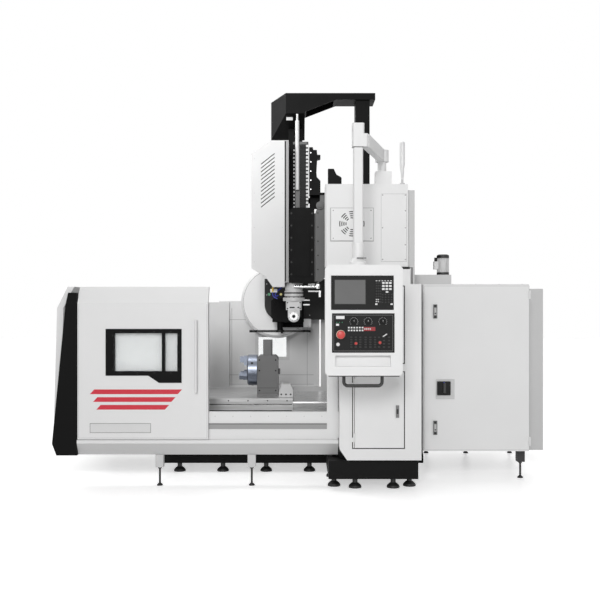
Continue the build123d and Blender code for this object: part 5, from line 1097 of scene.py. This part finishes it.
class DressConsole(bpy.types.Operator):
    """Add the screen, keys, dials, buttons and lever of the control console"""

    bl_idname = "gantry_mill.dress_console"
    bl_label = "Console"

    SCREEN_X = (321.0, 835.0)
    SCREEN_Z = (1659.0, 1940.0)
    GLASS_X = (351.0, 603.0)
    GLASS_Z = (1707.0, 1905.0)
    KEYS_X = (328.0, 842.0)
    KEYS_Z = (1307.0, 1630.0)
    RED = ((525.0, 1383.0), (722.0, 1390.0))
    WHITE = (377.0, 1375.0)
    DIALS = ((508.0, 1562.0), (624.0, 1562.0), (746.0, 1562.0))
    RED_CLEARANCE = 20.0
    CAP_LIFT = 2.4
    MARK_RADIUS = 33.0
    STOP = (400.0, 1456.0)
    STOP_OUTLINE = ((14, 0), (14, 14), (31, 20), (34, 27), (31, 34), (20, 38), (0, 39))
    # Name, X range, Z range, columns, rows, width, height, coat and reach before the panel
    KEY_BLOCKS = (
        ("screen_soft_keys", (694, 813), (1898, 1898), 6, 1, 14, 8, "pale_key", 0.0),
        ("screen_letter_keys", (694, 727), (1724, 1880), 3, 8, 12, 13, "dark_key", 0.0),
        ("screen_number_keys", (750, 807), (1830, 1880), 3, 3, 23, 17, "white_key", 0.0),
        ("screen_zero_key", (780, 780), (1806, 1806), 1, 1, 22, 14, "white_key", 0.0),
        ("screen_edit_keys", (743, 818), (1722, 1784), 4, 4, 14, 11, "dark_key", 0.0),
        ("screen_page_keys", (693, 708), (1727, 1744), 2, 2, 11, 10, "pale_key", 0.4),
        ("load_lamps", (598, 642), (1502, 1502), 4, 1, 10, 14, "pale_key", 2.5),
        ("mode_keys", (466, 579), (1490, 1513), 6, 2, 15, 13, "white_key", 0.0),
    )
    # Name, X range and rows of the dark keys, three to a row
    KEY_GROUPS = (("jog_keys", (604, 682), 5), ("feed_keys", (486, 560), 5),
                  ("spindle_keys", (714, 796), 4))

    def execute(self, context):
        front = span("console")[1][0]
        self.screen(front)
        self.key_panel(front)
        self.panel_keys(front + 1.0)
        self.panel_buttons(front + 1.0)
        self.dials(front + 1.0)
        self.lever(front + 1.0)
        self.trim(front)
        return DONE

    def screen(self, front):
        (left, right), (low, high) = self.GLASS_X, self.GLASS_Z
        y = (front + 0.8, front + 3.4)
        bezel = Shape().block(self.SCREEN_X, (front + 3.0, front + 5.8), self.SCREEN_Z, 0.8)
        for x in ((self.SCREEN_X[0], left), (right, self.SCREEN_X[1])):
            bezel.block(x, y, self.SCREEN_Z, 0.6)
        for z in ((self.SCREEN_Z[0], low), (high, self.SCREEN_Z[1])):
            bezel.block(self.GLASS_X, y, z, 0.6)
        bezel.piece("screen_bezel", "panel_film", "console", "black_paint")
        Shape().block(self.GLASS_X, (front + 2.2, front + 3.6), self.GLASS_Z, 0.3).piece(
            "screen_glass", "screen_glass", "console", "clear_glass")
        Shape().ring(inset(self.GLASS_X, -5.0), inset(self.GLASS_Z, -5.0),
                     (front + 0.2, front + 1.2), 4.0, 0.4).piece(
            "screen_gasket", "black_rubber", "console", "black_paint")

    def key_panel(self, front):
        Shape().block(self.KEYS_X, (front + 1.0, front + 3.8), self.KEYS_Z, 0.8).piece(
            "key_panel", "panel_film", "console", "black_paint")
        Shape().ring(inset(self.KEYS_X, 13.0), inset(self.KEYS_Z, 13.0),
                     (front + 0.4, front + 1.5), 2.5, 0.2).piece(
            "key_panel_outline", "grey_key", "console", "grey_paint")
        plates = Shape()
        for x, z in (((361.0, 431.0), (1584.0, 1609.0)), ((361.0, 386.0), (1528.0, 1545.0))):
            plates.block(x, (front - 0.4, front + 1.5), z, 1.0)
        plates.piece("key_panel_plate", "white_key", "console", "light_grey")
        Shape().block((588.0, 684.0), (front - 2.0, front + 1.5), (1486.0, 1518.0), 1.5).piece(
            "load_window", "red_window", "console", "lamp_plastic")

    def panel_keys(self, y):
        for name, x, z, columns, rows, width, length, coat_name, reach in self.KEY_BLOCKS:
            places = pairs(steps(*x, columns), steps(*z, rows))
            keys(name, points_at(y - reach, places), FRONT, width, length, "console",
                 coat_name, 5)
        keys("screen_corner_keys", points_at(y, [(692, 1706), (818, 1706)]), FRONT, 20, 14,
             "console", "white_key")
        clear = self.RED_CLEARANCE * MM
        for name, x, rows in self.KEY_GROUPS:
            points = [p for p in points_at(y, pairs(steps(*x, 3), steps(1354.0, 1434.0, rows)))
                      if min((p - red).length for red in points_at(y, self.RED)) > clear]
            keys(name, points, FRONT, 17, 12, "console", "dark_key", 5)
            caps = [p + Vector((0, -self.CAP_LIFT * MM, 0)) for p in points]
            keys(name + "_caps", caps, FRONT, 8, 5, "console", "grey_key", 1.5)

    def panel_buttons(self, y):
        collars = Shape()
        for x, z in self.RED:
            collars.disc(x, y + 1.0, z, 17.0, 5.0)
        collars.disc(self.WHITE[0], y + 1.0, self.WHITE[1], 20.0, 5.0)
        collars.piece("button_collars", "dark_key", "console", "black_paint")
        buttons("red_buttons", points_at(y - 1.0, self.RED), FRONT, 13, "console", "red_key",
                11)
        buttons("white_button", points_at(y - 1.0, [self.WHITE]), FRONT, 16, "console",
                "white_key", 10)
        buttons("panel_lamps", points_at(y, pairs((368.0, 388.0, 412.0), [1556.0])), FRONT,
                4.5, "console", "green_key", 4)
        x, z = self.STOP
        Shape().disc(x, y + 1.0, z, 37.0, 5.0).piece(
            "stop_collar", "cream_ring", "console", "lamp_plastic")
        Shape().turned(self.STOP_OUTLINE, at(x, y - 4.0, z), FRONT, 40).piece(
            "stop_button", "red_key", "console", "lamp_plastic", True)

    def dials(self, y):
        knobs, hands, marks = Shape(), Shape(), []
        for x, z in self.DIALS:
            knobs.disc(x, y + 1.0, z, 22.0, 4.0)
            knobs.disc(x, y - 3.0, z, 16.0, 17.0, edge=3.0)
            hands.block(about(x, 1.5), (y - 20.6, y - 19.0), (z + 2.0, z + 14.0), 0.3)
            marks += [at(x + self.MARK_RADIUS * cos(a), y, z + self.MARK_RADIUS * sin(a))
                      for a in steps(radians(-40), radians(220), 13)]
        knobs.piece("dial_knobs", "black_plastic", "console", "black_paint", True)
        hands.piece("dial_pointers", "white_key", "console", "light_grey")
        keys("dial_marks", marks, FRONT, 4, 4, "console", "pale_key", 1.6)

    def lever(self, y):
        x, z = 748.0, 1440.0
        Shape().disc(x, y + 1.0, z, 12.0, 6.0).piece(
            "lever_base", "dark_key", "console", "black_paint")
        Shape().tube([(x, y - 4, z), (x + 8, y - 12, z + 7), (x + 28, y - 26, z + 21)], 5).piece(
            "lever", "white_key", "console", "steel", True)

    def trim(self, front):
        """Screws at the panels' corners, vents on the back, and the seam and clamp of the arm."""
        Shape().block((507.5, 588.5), (-2150.5, -2069.5), (3004.0, 3009.0), 0.5).piece(
            "elbow_seam", "seam_shadow", "pendant_arm", "black_paint")
        Shape().block((534.0, 612.0), (-2176.0, -2150.0), (2082.0, 2092.0), 2.0).piece(
            "tube_clamp", "grey_key", "console", "grey_paint")
        points = points_at(front + 0.9, pairs(inset(self.KEYS_X, 7), inset(self.KEYS_Z, 7)))
        points += points_at(front + 0.8, pairs(inset(self.SCREEN_X, 8), inset(self.SCREEN_Z, 8)))
        screws("console_screws", points, FRONT, 4, "console", "black_steel", 2)
        places = pairs(steps(380.0, 800.0, 3), (1230.0, 1600.0, 1960.0))
        face_screws("console_back_screws", "console", places, 6, "console", side=FAR)
        vents = points_at(span("console")[1][1], pairs(steps(480.0, 700.0, 12), (1420.0, 1480.0)))
        keys("console_back_vents", vents, BACK, 8, 44, "console", "black_plastic", 1.6)


class DressHead(bpy.types.Operator):
    """Add the chain's tabs and pins, vent mesh, edge strips, lid, boss and bolts of the head"""

    bl_idname = "gantry_mill.dress_head"
    bl_label = "Head and saddle"

    VENTS = 12
    VENT_PITCH = 40.6
    VENT_START = (-341.0, 2700.0)
    VENT_RUN = (142.0, 112.0)
    VENT_WIDTH = 12.0
    LINK_PITCH = 40.0
    BOSS = (272.0, 2716.0)

    def execute(self, context):
        self.chain()
        self.cover()
        self.casting()
        self.saddle()
        self.motor()
        return DONE

    def chain(self):
        x, y, z = span("cable_chain")
        heights = [z[0] + self.LINK_PITCH * (index + 0.5)
                   for index in range(int((z[1] - z[0]) / self.LINK_PITCH))]
        keys("chain_tabs", points_at(y[0], pairs([x[1] - 9.0], heights)), FRONT, 26, 27,
             "head", "white_key", 7)
        buttons("chain_pins", points_at(y[0], pairs([x[0] + 14.0], heights)), FRONT, 6,
                "head", "black_steel", 4)
        (left, _right), (near, _far), (_low, top) = span("head_trunk")
        places = pairs([left + 10.0], [h for h in heights if h < top - 60.0])
        keys("trunk_tabs", points_at(near - 2.0, places), FRONT, 13, 20, "head", "pale_key", 8)
        Shape().block((left - 3.0, left + 24.0), (near - 2.0, near + 8.0),
                      (z[0] + 4.0, top - 30.0), 1.0).piece(
            "trunk_strip", "black_coat", "head", "black_paint")

    def cover(self):
        x, y, z = span("head_cover")
        right = x[1]
        heights = (z[0] + 54.0, z[1] - 6.0)
        Shape().block((right - 42.0, right - 27.0), (y[0] - 1.2, y[0] + 1.0), heights, 0.5).piece(
            "head_cover_groove", "seam_shadow", "head", "grey_paint")
        Shape().block((right - 26.0, right - 1.0), (y[0] - 2.5, y[0] + 1.0), heights, 1.0).piece(
            "head_cover_strip", "strip_coat", "head", "grey_paint")
        places = pairs((x[0] + 30.0, right - 66.0), steps(z[0] + 260.0, z[1] - 190.0, 4))
        for side, depth in ((NEAR, y[0] + 4.0), (FAR, y[1] - 4.0)):
            self.vents(side, depth)
            face_screws("head_cover_screws_" + SIDE_NAMES[side], "head_cover", places, 5,
                        "head", "pale_screw", side=side)

    def vents(self, side, depth):
        """Dark mesh behind the slanting slots of the cover."""
        mesh = Shape()
        left, start = self.VENT_START
        right = left + self.VENT_RUN[0]
        for index in range(self.VENTS):
            low = start + index * self.VENT_PITCH - 1.0
            high = low + self.VENT_WIDTH + 2.0
            rise = self.VENT_RUN[1]
            mesh.plate(points_at(depth, [(left, low), (right, low + rise),
                                         (right, high + rise), (left, high)]),
                       (0, -side * 3 * MM, 0), 0.0)
        mesh.piece("vent_mesh_" + SIDE_NAMES[side], "black_plastic", "head", "black_paint")

    def casting(self):
        x, _y, z = span("head_casting")
        places = pairs((x[0] + 28.0, x[1] - 24.0), steps(z[0] + 90.0, z[1] - 60.0, 6))
        face_screws("casting_bolts", "head_casting", places, 9, "head", "black_steel", 6)
        depth = face("head_casting", 80.0, 2300.0)
        Shape().block((x[0] + 50.0, x[1] - 46.0), (depth - 5.0, depth + 1.0),
                      (z[0] + 70.0, z[1] - 110.0), 3.0).piece(
            "casting_lid", "cast_black", "head", "black_paint")

    def saddle(self):
        low, high = span("saddle")[2]
        places = pairs((250.0, 322.0), steps(low + 120.0, high - 210.0, 5))
        face_screws("saddle_bolts", "saddle", places, 8, "saddle", "black_steel", 6)
        x, z = self.BOSS
        depth = face("saddle", 275.0, 2700.0)
        boss = Shape().disc(x, depth + 2.0, z, 42.0, 16.0, edge=4.0)
        boss.disc(x, depth - 13.0, z, 24.0, 8.0, edge=3.0)
        boss.piece("saddle_boss", "dark_grey_coat", "saddle", "grey_paint")
        near = span("gallows_hood")[1][0]
        Shape().block((-80.0, -12.0), (near - 3.0, near + 1.0), (3640.0, 3674.0), 2.0).piece(
            "hood_tab", "shade_coat", "saddle", "light_grey")

    def motor(self):
        x, _y, z = span("lift_motor")
        Shape().block((x[0] + 6.0, x[1] + 4.0), (-40.0, -14.0), (2714.0, z[0] + 40.0),
                      4.0).piece("lift_motor_plate", "black_coat", "saddle", "black_paint")
        places = pairs([x[0] + 16.0], steps(*inset(z, 60.0), 5))
        face_screws("lift_motor_bolts", "lift_motor", places, 6, "saddle", height=4)


class DressSpindle(bpy.types.Operator):
    """Add the flange's and nose's bolts, nose ring, slots, coolant pipes and fittings"""

    bl_idname = "gantry_mill.dress_spindle"
    bl_label = "Spindle and coolant"

    NOSE_HEIGHT = 1568.0
    NOSE_RING = ((60, 0), (60, 8), (57, 11), (40, 11), (38, 8), (38, 0))
    FLANGE_BOLT_RADIUS = 96.0
    NOSE_BOLT_RADIUS = 49.0
    FLANGE_GROOVE = ((101.5, 0), (102.5, 2), (102.5, 12), (101.5, 14))
    PIPES_Y = -120.0
    NOZZLES_Y = -170.0
    # Name and coat of the pipes, with each pipe's share of the radius and its points,
    # Y counted from the pipes' own depth
    PIPES = (
        ("blue_coolant_pipes", "blue_hose", (
            (1.0, ((-90, 60, 1930), (-150, 0, 1900), (-240, 0, 1850), (-230, 0, 1770),
                   (-175, 0, 1755))),
            (1.0, ((-60, 50, 1930), (-120, -14, 1880), (-215, -14, 1812), (-200, -14, 1768),
                   (-165, -10, 1790))))),
        ("air_pipe", "violet_hose", (
            (0.8, ((-110, 40, 1935), (-135, 10, 1900), (-185, 6, 1880), (-235, 4, 1855))),)),
    )

    def execute(self, context):
        self.flange()
        self.nose()
        self.pipes(context.scene.mill_sizes.hose_radius / MM)
        self.nozzles()
        return DONE

    def flange(self):
        x, y, z = span("spindle_housing")
        across, deep = sum(x) / 2, sum(y) / 2
        reach = self.FLANGE_BOLT_RADIUS
        points = [at(across + reach * cos(a), deep + reach * sin(a), z[0] + 38.0)
                  for a in circle(12)]
        screws("flange_bolts", points, UP, 8, "head", "black_steel", 8)
        Shape().turned(self.FLANGE_GROOVE, at(across, deep, z[0] + 78.0), UP, 48).piece(
            "ring_groove", "seam_shadow", "head", "black_paint", True)

    def nose(self):
        front = span("milling_spindle")[1][0]
        height = self.NOSE_HEIGHT
        Shape().turned(self.NOSE_RING, at(0, front + 30.0, height), FRONT, 48).piece(
            "nose_ring", "white_key", "head", "light_grey", True)
        reach = self.NOSE_BOLT_RADIUS
        places = [(reach * cos(a), height + reach * sin(a)) for a in circle(6, 0.3)]
        screws("nose_bolts", points_at(front + 19.0, places), FRONT, 4, "head",
               "black_steel", 3)
        slots = Shape()
        for x in ((-44.0, 8.0), (38.0, 58.0)):
            slots.on("angle_head", x, (1655.0, 1668.0), 1.0, 0.4)
        slots.piece("angle_head_slots", "black_plastic", "head", "black_paint")
        face_screws("angle_head_bolts", "angle_head", pairs((-66.0, 66.0), (1650.0, 1712.0)),
                    7, "head", "black_steel", 5)

    def pipes(self, radius):
        """Rigid coolant lines that are bent from one fitting to the next."""
        y = self.PIPES_Y
        for name, coat_name, runs in self.PIPES:
            shape = Shape()
            for share, points in runs:
                shape.tube([(x, y + depth, z) for x, depth, z in points], radius * share)
            shape.piece(name, coat_name, "head", "black_paint", True)
        Shape().block((-250.0, -176.0), about(y, 22.0), (1820.0, 1858.0), 4.0).piece(
            "coolant_block", "white_key", "head", "light_grey")
        Shape().block((-232.0, -214.0), (y - 34.0, y - 18.0), (1826.0, 1876.0), 4.0).piece(
            "coolant_valve", "yellow_ring", "head", "grey_paint")
        Shape().disc(-262.0, y - 6.0, 1800.0, 16.0, 34.0).piece(
            "green_fitting", "green_hose", "head", "black_paint")
        Shape().disc(-137.0, y - 10.0, 1800.0, 13.0, 26.0).piece(
            "brass_fitting", "yellow_hose", "head", "grey_paint")
        hanger = Shape().block((-200.0, -186.0), about(y, 6.0), (1850.0, 1905.0), 2.0)
        hanger.block((-248.0, -130.0), about(y, 6.0), (1896.0, 1908.0), 2.0)
        hanger.piece("coolant_hanger", "black_steel", "head", "steel")

    def nozzles(self):
        """The manifold with its nozzles, the rods and the braided lines beside the spindle."""
        y = self.NOZZLES_Y
        steel = Shape().rod((-2.0, y - 40.0, 1882.0), (248.0, y - 40.0, 1882.0), 17.0, 24)
        steel.block((236.0, 276.0), (y - 62.0, y - 18.0), (1858.0, 1908.0), 5.0)
        steel.piece("coolant_manifold", "turned_steel", "head", "steel", True)
        rods = Shape()
        for x, depth, z, radius in (((150.0, 276.0), y - 30.0, 1832.0, 9.0),
                                    ((105.0, 168.0), y, 1738.0, 7.0),
                                    ((98.0, 168.0), y, 1690.0, 9.0)):
            rods.rod((x[0], depth, z), (x[1], depth, z), radius)
        rods.block((262.0, 286.0), (y - 44.0, y - 12.0), (1770.0, 1838.0), 3.0)
        rods.piece("coolant_rods", "bright_screw", "head", "steel")
        braid = Shape().rod((150.0, y - 44.0, 1905.0), (222.0, y - 44.0, 1905.0), 9.0)
        braid.rod((236.0, y - 66.0, 1900.0), (290.0, y - 66.0, 1968.0), 8.0)
        braid.piece("braided_lines", "pale_key", "head", "light_grey")
        places = pairs(steps(20.0, 220.0, 6), [1890.0])
        buttons("manifold_nozzles", points_at(y - 56.0, places), FRONT, 8, "head", "dark_key", 9)


class DressChanger(bpy.types.Operator):
    """Add the magazine's rim and pockets, the plate's bolts and the tool arm's cap and screws"""

    bl_idname = "gantry_mill.dress_changer"
    bl_label = "Tool changer"

    POCKETS = 20
    POCKET_INSET = 62.0
    PLATE_BOLTS = ((-330.0, 1930.0), (-330.0, 1800.0), (-190.0, 1530.0), (-60.0, 1560.0),
                   (60.0, 1560.0), (180.0, 1560.0))

    def execute(self, context):
        self.magazine()
        face_screws("plate_bolts", "magazine_plate", self.PLATE_BOLTS, 7, "base",
                    "grey_screw", 5)
        self.changer()
        self.arm()
        return DONE

    def magazine(self):
        x, y, z = span("tool_magazine")
        across, height, radius = sum(x) / 2, sum(z) / 2, (x[1] - x[0]) / 2
        reach = radius - self.POCKET_INSET
        places = [(across + reach * cos(a), height + reach * sin(a))
                  for a in circle(self.POCKETS)]
        buttons("magazine_pockets", points_at(y[1], places), BACK, 34, "base", "shade_coat", 14)
        rim = [(radius - 26, -3), (radius - 26, 1.2), (radius - 30, 1.2), (radius - 30, -3)]
        Shape().turned(rim, at(across, y[0], height), FRONT, 72).piece(
            "magazine_rim", "fold_line", "base", "grey_paint", True)

    def changer(self):
        x, y, z = span("tool_changer")
        near = y[0]
        Shape().block((x[1] - 20.0, x[1] + 70.0), (near + 110.0, near + 190.0),
                      (1425.0, 1520.0), 5.0).piece(
            "changer_switch_box", "white_key", "base", "light_grey")
        Shape().ring(inset(x, 14.0), (z[0] + 92.0, z[1] - 14.0), (near - 4.0, near + 1.0),
                     26.0, 2.0).piece("changer_frame_rib", "cast_black", "base", "black_paint")

    def arm(self):
        x, y, z = span("tool_arm")
        across, deep = sum(x) / 2, sum(y) / 2
        Shape().disc(across, deep, ARM_TOP, 30.0, 10.0, UP).piece(
            "arm_hub_cap", "black_steel", "tool_arm", "blackened_steel")
        Shape().disc(across + 20.0, deep, z[0], 13.0, 14.0, (0, 0, -1), 4.0).piece(
            "arm_stop_pin", "black_steel", "tool_arm", "blackened_steel")
        points = [at(px, deep, ARM_TOP) for px in (*inset(x, 120.0), *inset(x, 170.0))]
        screws("arm_screws", points, UP, 8, "tool_arm", height=5)


class DressTable(bpy.types.Operator):
    """Add the table's grooves and stops, the rotary table's bolts and the chuck's ring"""

    bl_idname = "gantry_mill.dress_table"
    bl_label = "Work table"

    ROTARY_BODY = (-379.0, -162.0)
    CHUCK_HEIGHT = 1009.0
    CHUCK_RING = ((150, -4), (150, 1.5), (143, 1.5), (143, -4))
    SOCKET_REACH = 158.0
    SOCKET_TURNS = (30, 150, 270)

    def execute(self, context):
        x, y, z = span("table")
        groove = Shape()
        for low, high in ((66.0, 56.0), (134.0, 120.0)):
            if z[1] - low > z[0]:
                groove.on("table", inset(x, 10.0), (z[1] - low, z[1] - high), 1.0, 0.4)
        groove.piece("table_grooves", "seam_shadow", "table", "black_paint")
        places = pairs(steps(*inset(x, 60), 9), [z[1] - 24.0])
        screws("table_stops", points_at(y[0], places), FRONT, 7, "table", "black_steel")
        self.rotary()
        self.chuck()
        self.covers()
        return DONE

    def rotary(self):
        low = span("rotary_table")[2][0]
        body = self.ROTARY_BODY
        places = pairs(inset(body, 24.0), (low + 60.0, 1010.0, 1120.0))
        face_screws("rotary_bolts", "rotary_table", places, 8, "table", "black_steel", 5)
        Shape().on("rotary_table", inset(body, 3.0), (830.0, 833.0), 0.6, 0.2).piece(
            "rotary_seam", "seam_shadow", "table", "grey_paint")
        x, y, z = span("clamp_block")
        places = pairs(steps(*inset(x, 24), 3), [z[0] + 24.0])
        screws("clamp_bolts", points_at(y[0], places), FRONT, 9, "table", "black_steel", 6)

    def chuck(self):
        x, y, _z = span("chuck")
        deep, height = sum(y) / 2, self.CHUCK_HEIGHT
        Shape().turned(self.CHUCK_RING, at(x[1] - 100.0, deep, height), (-1, 0, 0), 64).piece(
            "chuck_face_ring", "black_steel", "chuck", "steel", True)
        sockets = Shape()
        for turn in self.SOCKET_TURNS:
            out, up = cos(radians(turn)), sin(radians(turn))
            sockets.disc(x[1] - 50.0, deep + self.SOCKET_REACH * out,
                         height + self.SOCKET_REACH * up, 13.0, 5.0, (0, out, up))
        sockets.piece("chuck_key_sockets", "black_steel", "chuck", "steel")

    def covers(self):
        """Rivets along the foot of each telescopic cover's side."""
        for index in range(1, 5):
            name = f"way_cover_{index}"
            x, y, z = span(name)
            places = pairs(steps(x[0] + 40.0, x[0] + 420.0, 4), [z[0] + 30.0])
            screws(name + "_rivets", points_at(y[0], places), FRONT, 4, name, height=2)


class PaintFrame(bpy.types.Operator):
    """Give every carried-over piece of the machine its coat"""

    bl_idname = "gantry_mill.paint_frame"
    bl_label = "Coats"

    def execute(self, context):
        for coat_name, names in NODE_COATS.items():
            for name in names:
                data = NODES[name].data
                data.materials.clear()
                data.materials.append(coat(coat_name))
        return DONE


class BuildStage(bpy.types.Operator):
    """Lay a pale floor, soft lamps, an even room light and the camera"""

    bl_idname = "gantry_mill.build_stage"
    bl_label = "Stage"

    FLOOR_HALF = 30.0
    FLOOR_GLOW = 0.52
    CLIP_END = 200.0
    AIM = (0.0, 0.0, 1.4)
    # Name, place and size of each lamp, in metres
    LAMPS = (("key", (-2.5, -22.0, 8.0), 6.0), ("fill", (5.0, -6.0, 3.6), 5.0),
             ("inner", (-1.3, -0.1, 4.3), 1.2), ("top", (0.0, 0.5, 7.5), 5.0))

    def execute(self, context):
        settings = context.scene.mill_stage
        self.floor()
        self.world(context, settings.room_strength)
        for name, place, size in self.LAMPS:
            self.lamp(name + "_lamp", place, size, getattr(settings, name + "_strength"))
        self.camera(context)
        context.scene.view_settings.view_transform = "Standard"
        return DONE

    def floor(self):
        half = self.FLOOR_HALF
        data = bpy.data.meshes.new("floor")
        corners = [(-half, -half, 0), (half, -half, 0), (half, half, 0), (-half, half, 0)]
        data.from_pydata(corners, [], [(0, 1, 2, 3)])
        floor = bpy.data.objects.new("floor", data)
        bpy.context.scene.collection.objects.link(floor)
        finish = Finish("floor_white", grey(244), 0.25)
        finish.set("Roughness", 0.3 + 0.1 * finish.noise(2.0))
        glow = finish.node("ShaderNodeEmission", inputs={
            "Color": WHITE, "Strength": self.FLOOR_GLOW * finish.seen()})
        both = finish.node("ShaderNodeAddShader").socket
        links = finish.tree.links
        links.new(finish.shader.outputs[0], both.node.inputs[0])
        links.new(glow.socket, both.node.inputs[1])
        links.new(both, finish.tree.nodes["Material Output"].inputs[0])
        data.materials.append(finish.material)

    def world(self, context, strength):
        """An even white room that is brighter where it is seen than where it lights."""
        world = bpy.data.worlds.new("studio")
        context.scene.world = world
        world.use_nodes = True
        nodes = Nodes(world.node_tree)
        background = nodes.tree.nodes["Background"]
        background.inputs["Color"].default_value = WHITE
        level = strength + (1.0 - strength) * nodes.seen()
        nodes.tree.links.new(level.socket, background.inputs["Strength"])

    def lamp(self, name, place, size, power):
        light = bpy.data.lights.new(name, "AREA")
        light.shape = "DISK"
        light.size = size
        light.energy = power
        holder = bpy.data.objects.new(name, light)
        holder.location = place
        aim = Vector(self.AIM) - Vector(place)
        holder.rotation_euler = aim.to_track_quat("-Z", "Y").to_euler()
        bpy.context.scene.collection.objects.link(holder)

    def camera(self, context):
        data = bpy.data.cameras.new("camera")
        data.sensor_width = SENSOR
        data.lens = FOCAL_PIXELS / FRAME_PIXELS * SENSOR
        data.clip_end = self.CLIP_END
        camera = bpy.data.objects.new("camera", data)
        camera.location = at(*CAMERA_PLACE)
        camera.rotation_euler = (pi / 2, 0.0, 0.0)
        context.scene.collection.objects.link(camera)
        context.scene.camera = camera


OPERATORS = [PaintFrame, DressDoors, DressWalls, DressColumnCover, DressCabinet, DressConsole,
             DressHead, DressSpindle, DressChanger, DressTable, BuildStage]


class MillPanel(bpy.types.Panel):
    """Lists the machine's operators in the sidebar"""

    bl_idname = "VIEW3D_PT_gantry_mill"
    bl_label = "Gantry mill"
    bl_space_type = "VIEW_3D"
    bl_region_type = "UI"
    bl_category = "Gantry mill"

    def draw(self, context):
        for settings in (context.scene.mill_sizes, context.scene.mill_stage):
            for name in settings.__annotations__:
                self.layout.prop(settings, name)
        for operator in OPERATORS:
            self.layout.operator(operator.bl_idname)


CLASSES = [MachineSizes, StageSettings, *OPERATORS, MillPanel]


def register():
    for item in CLASSES:
        bpy.utils.register_class(item)
    bpy.types.Scene.mill_sizes = bpy.props.PointerProperty(type=MachineSizes)
    bpy.types.Scene.mill_stage = bpy.props.PointerProperty(type=StageSettings)


def unregister():
    del bpy.types.Scene.mill_stage
    del bpy.types.Scene.mill_sizes
    for item in reversed(CLASSES):
        bpy.utils.unregister_class(item)


def main():
    register()
    for operator in OPERATORS:
        name = operator.bl_idname.split(".")[1]
        getattr(bpy.ops.gantry_mill, name)()


if __name__ == "__main__":
    main()
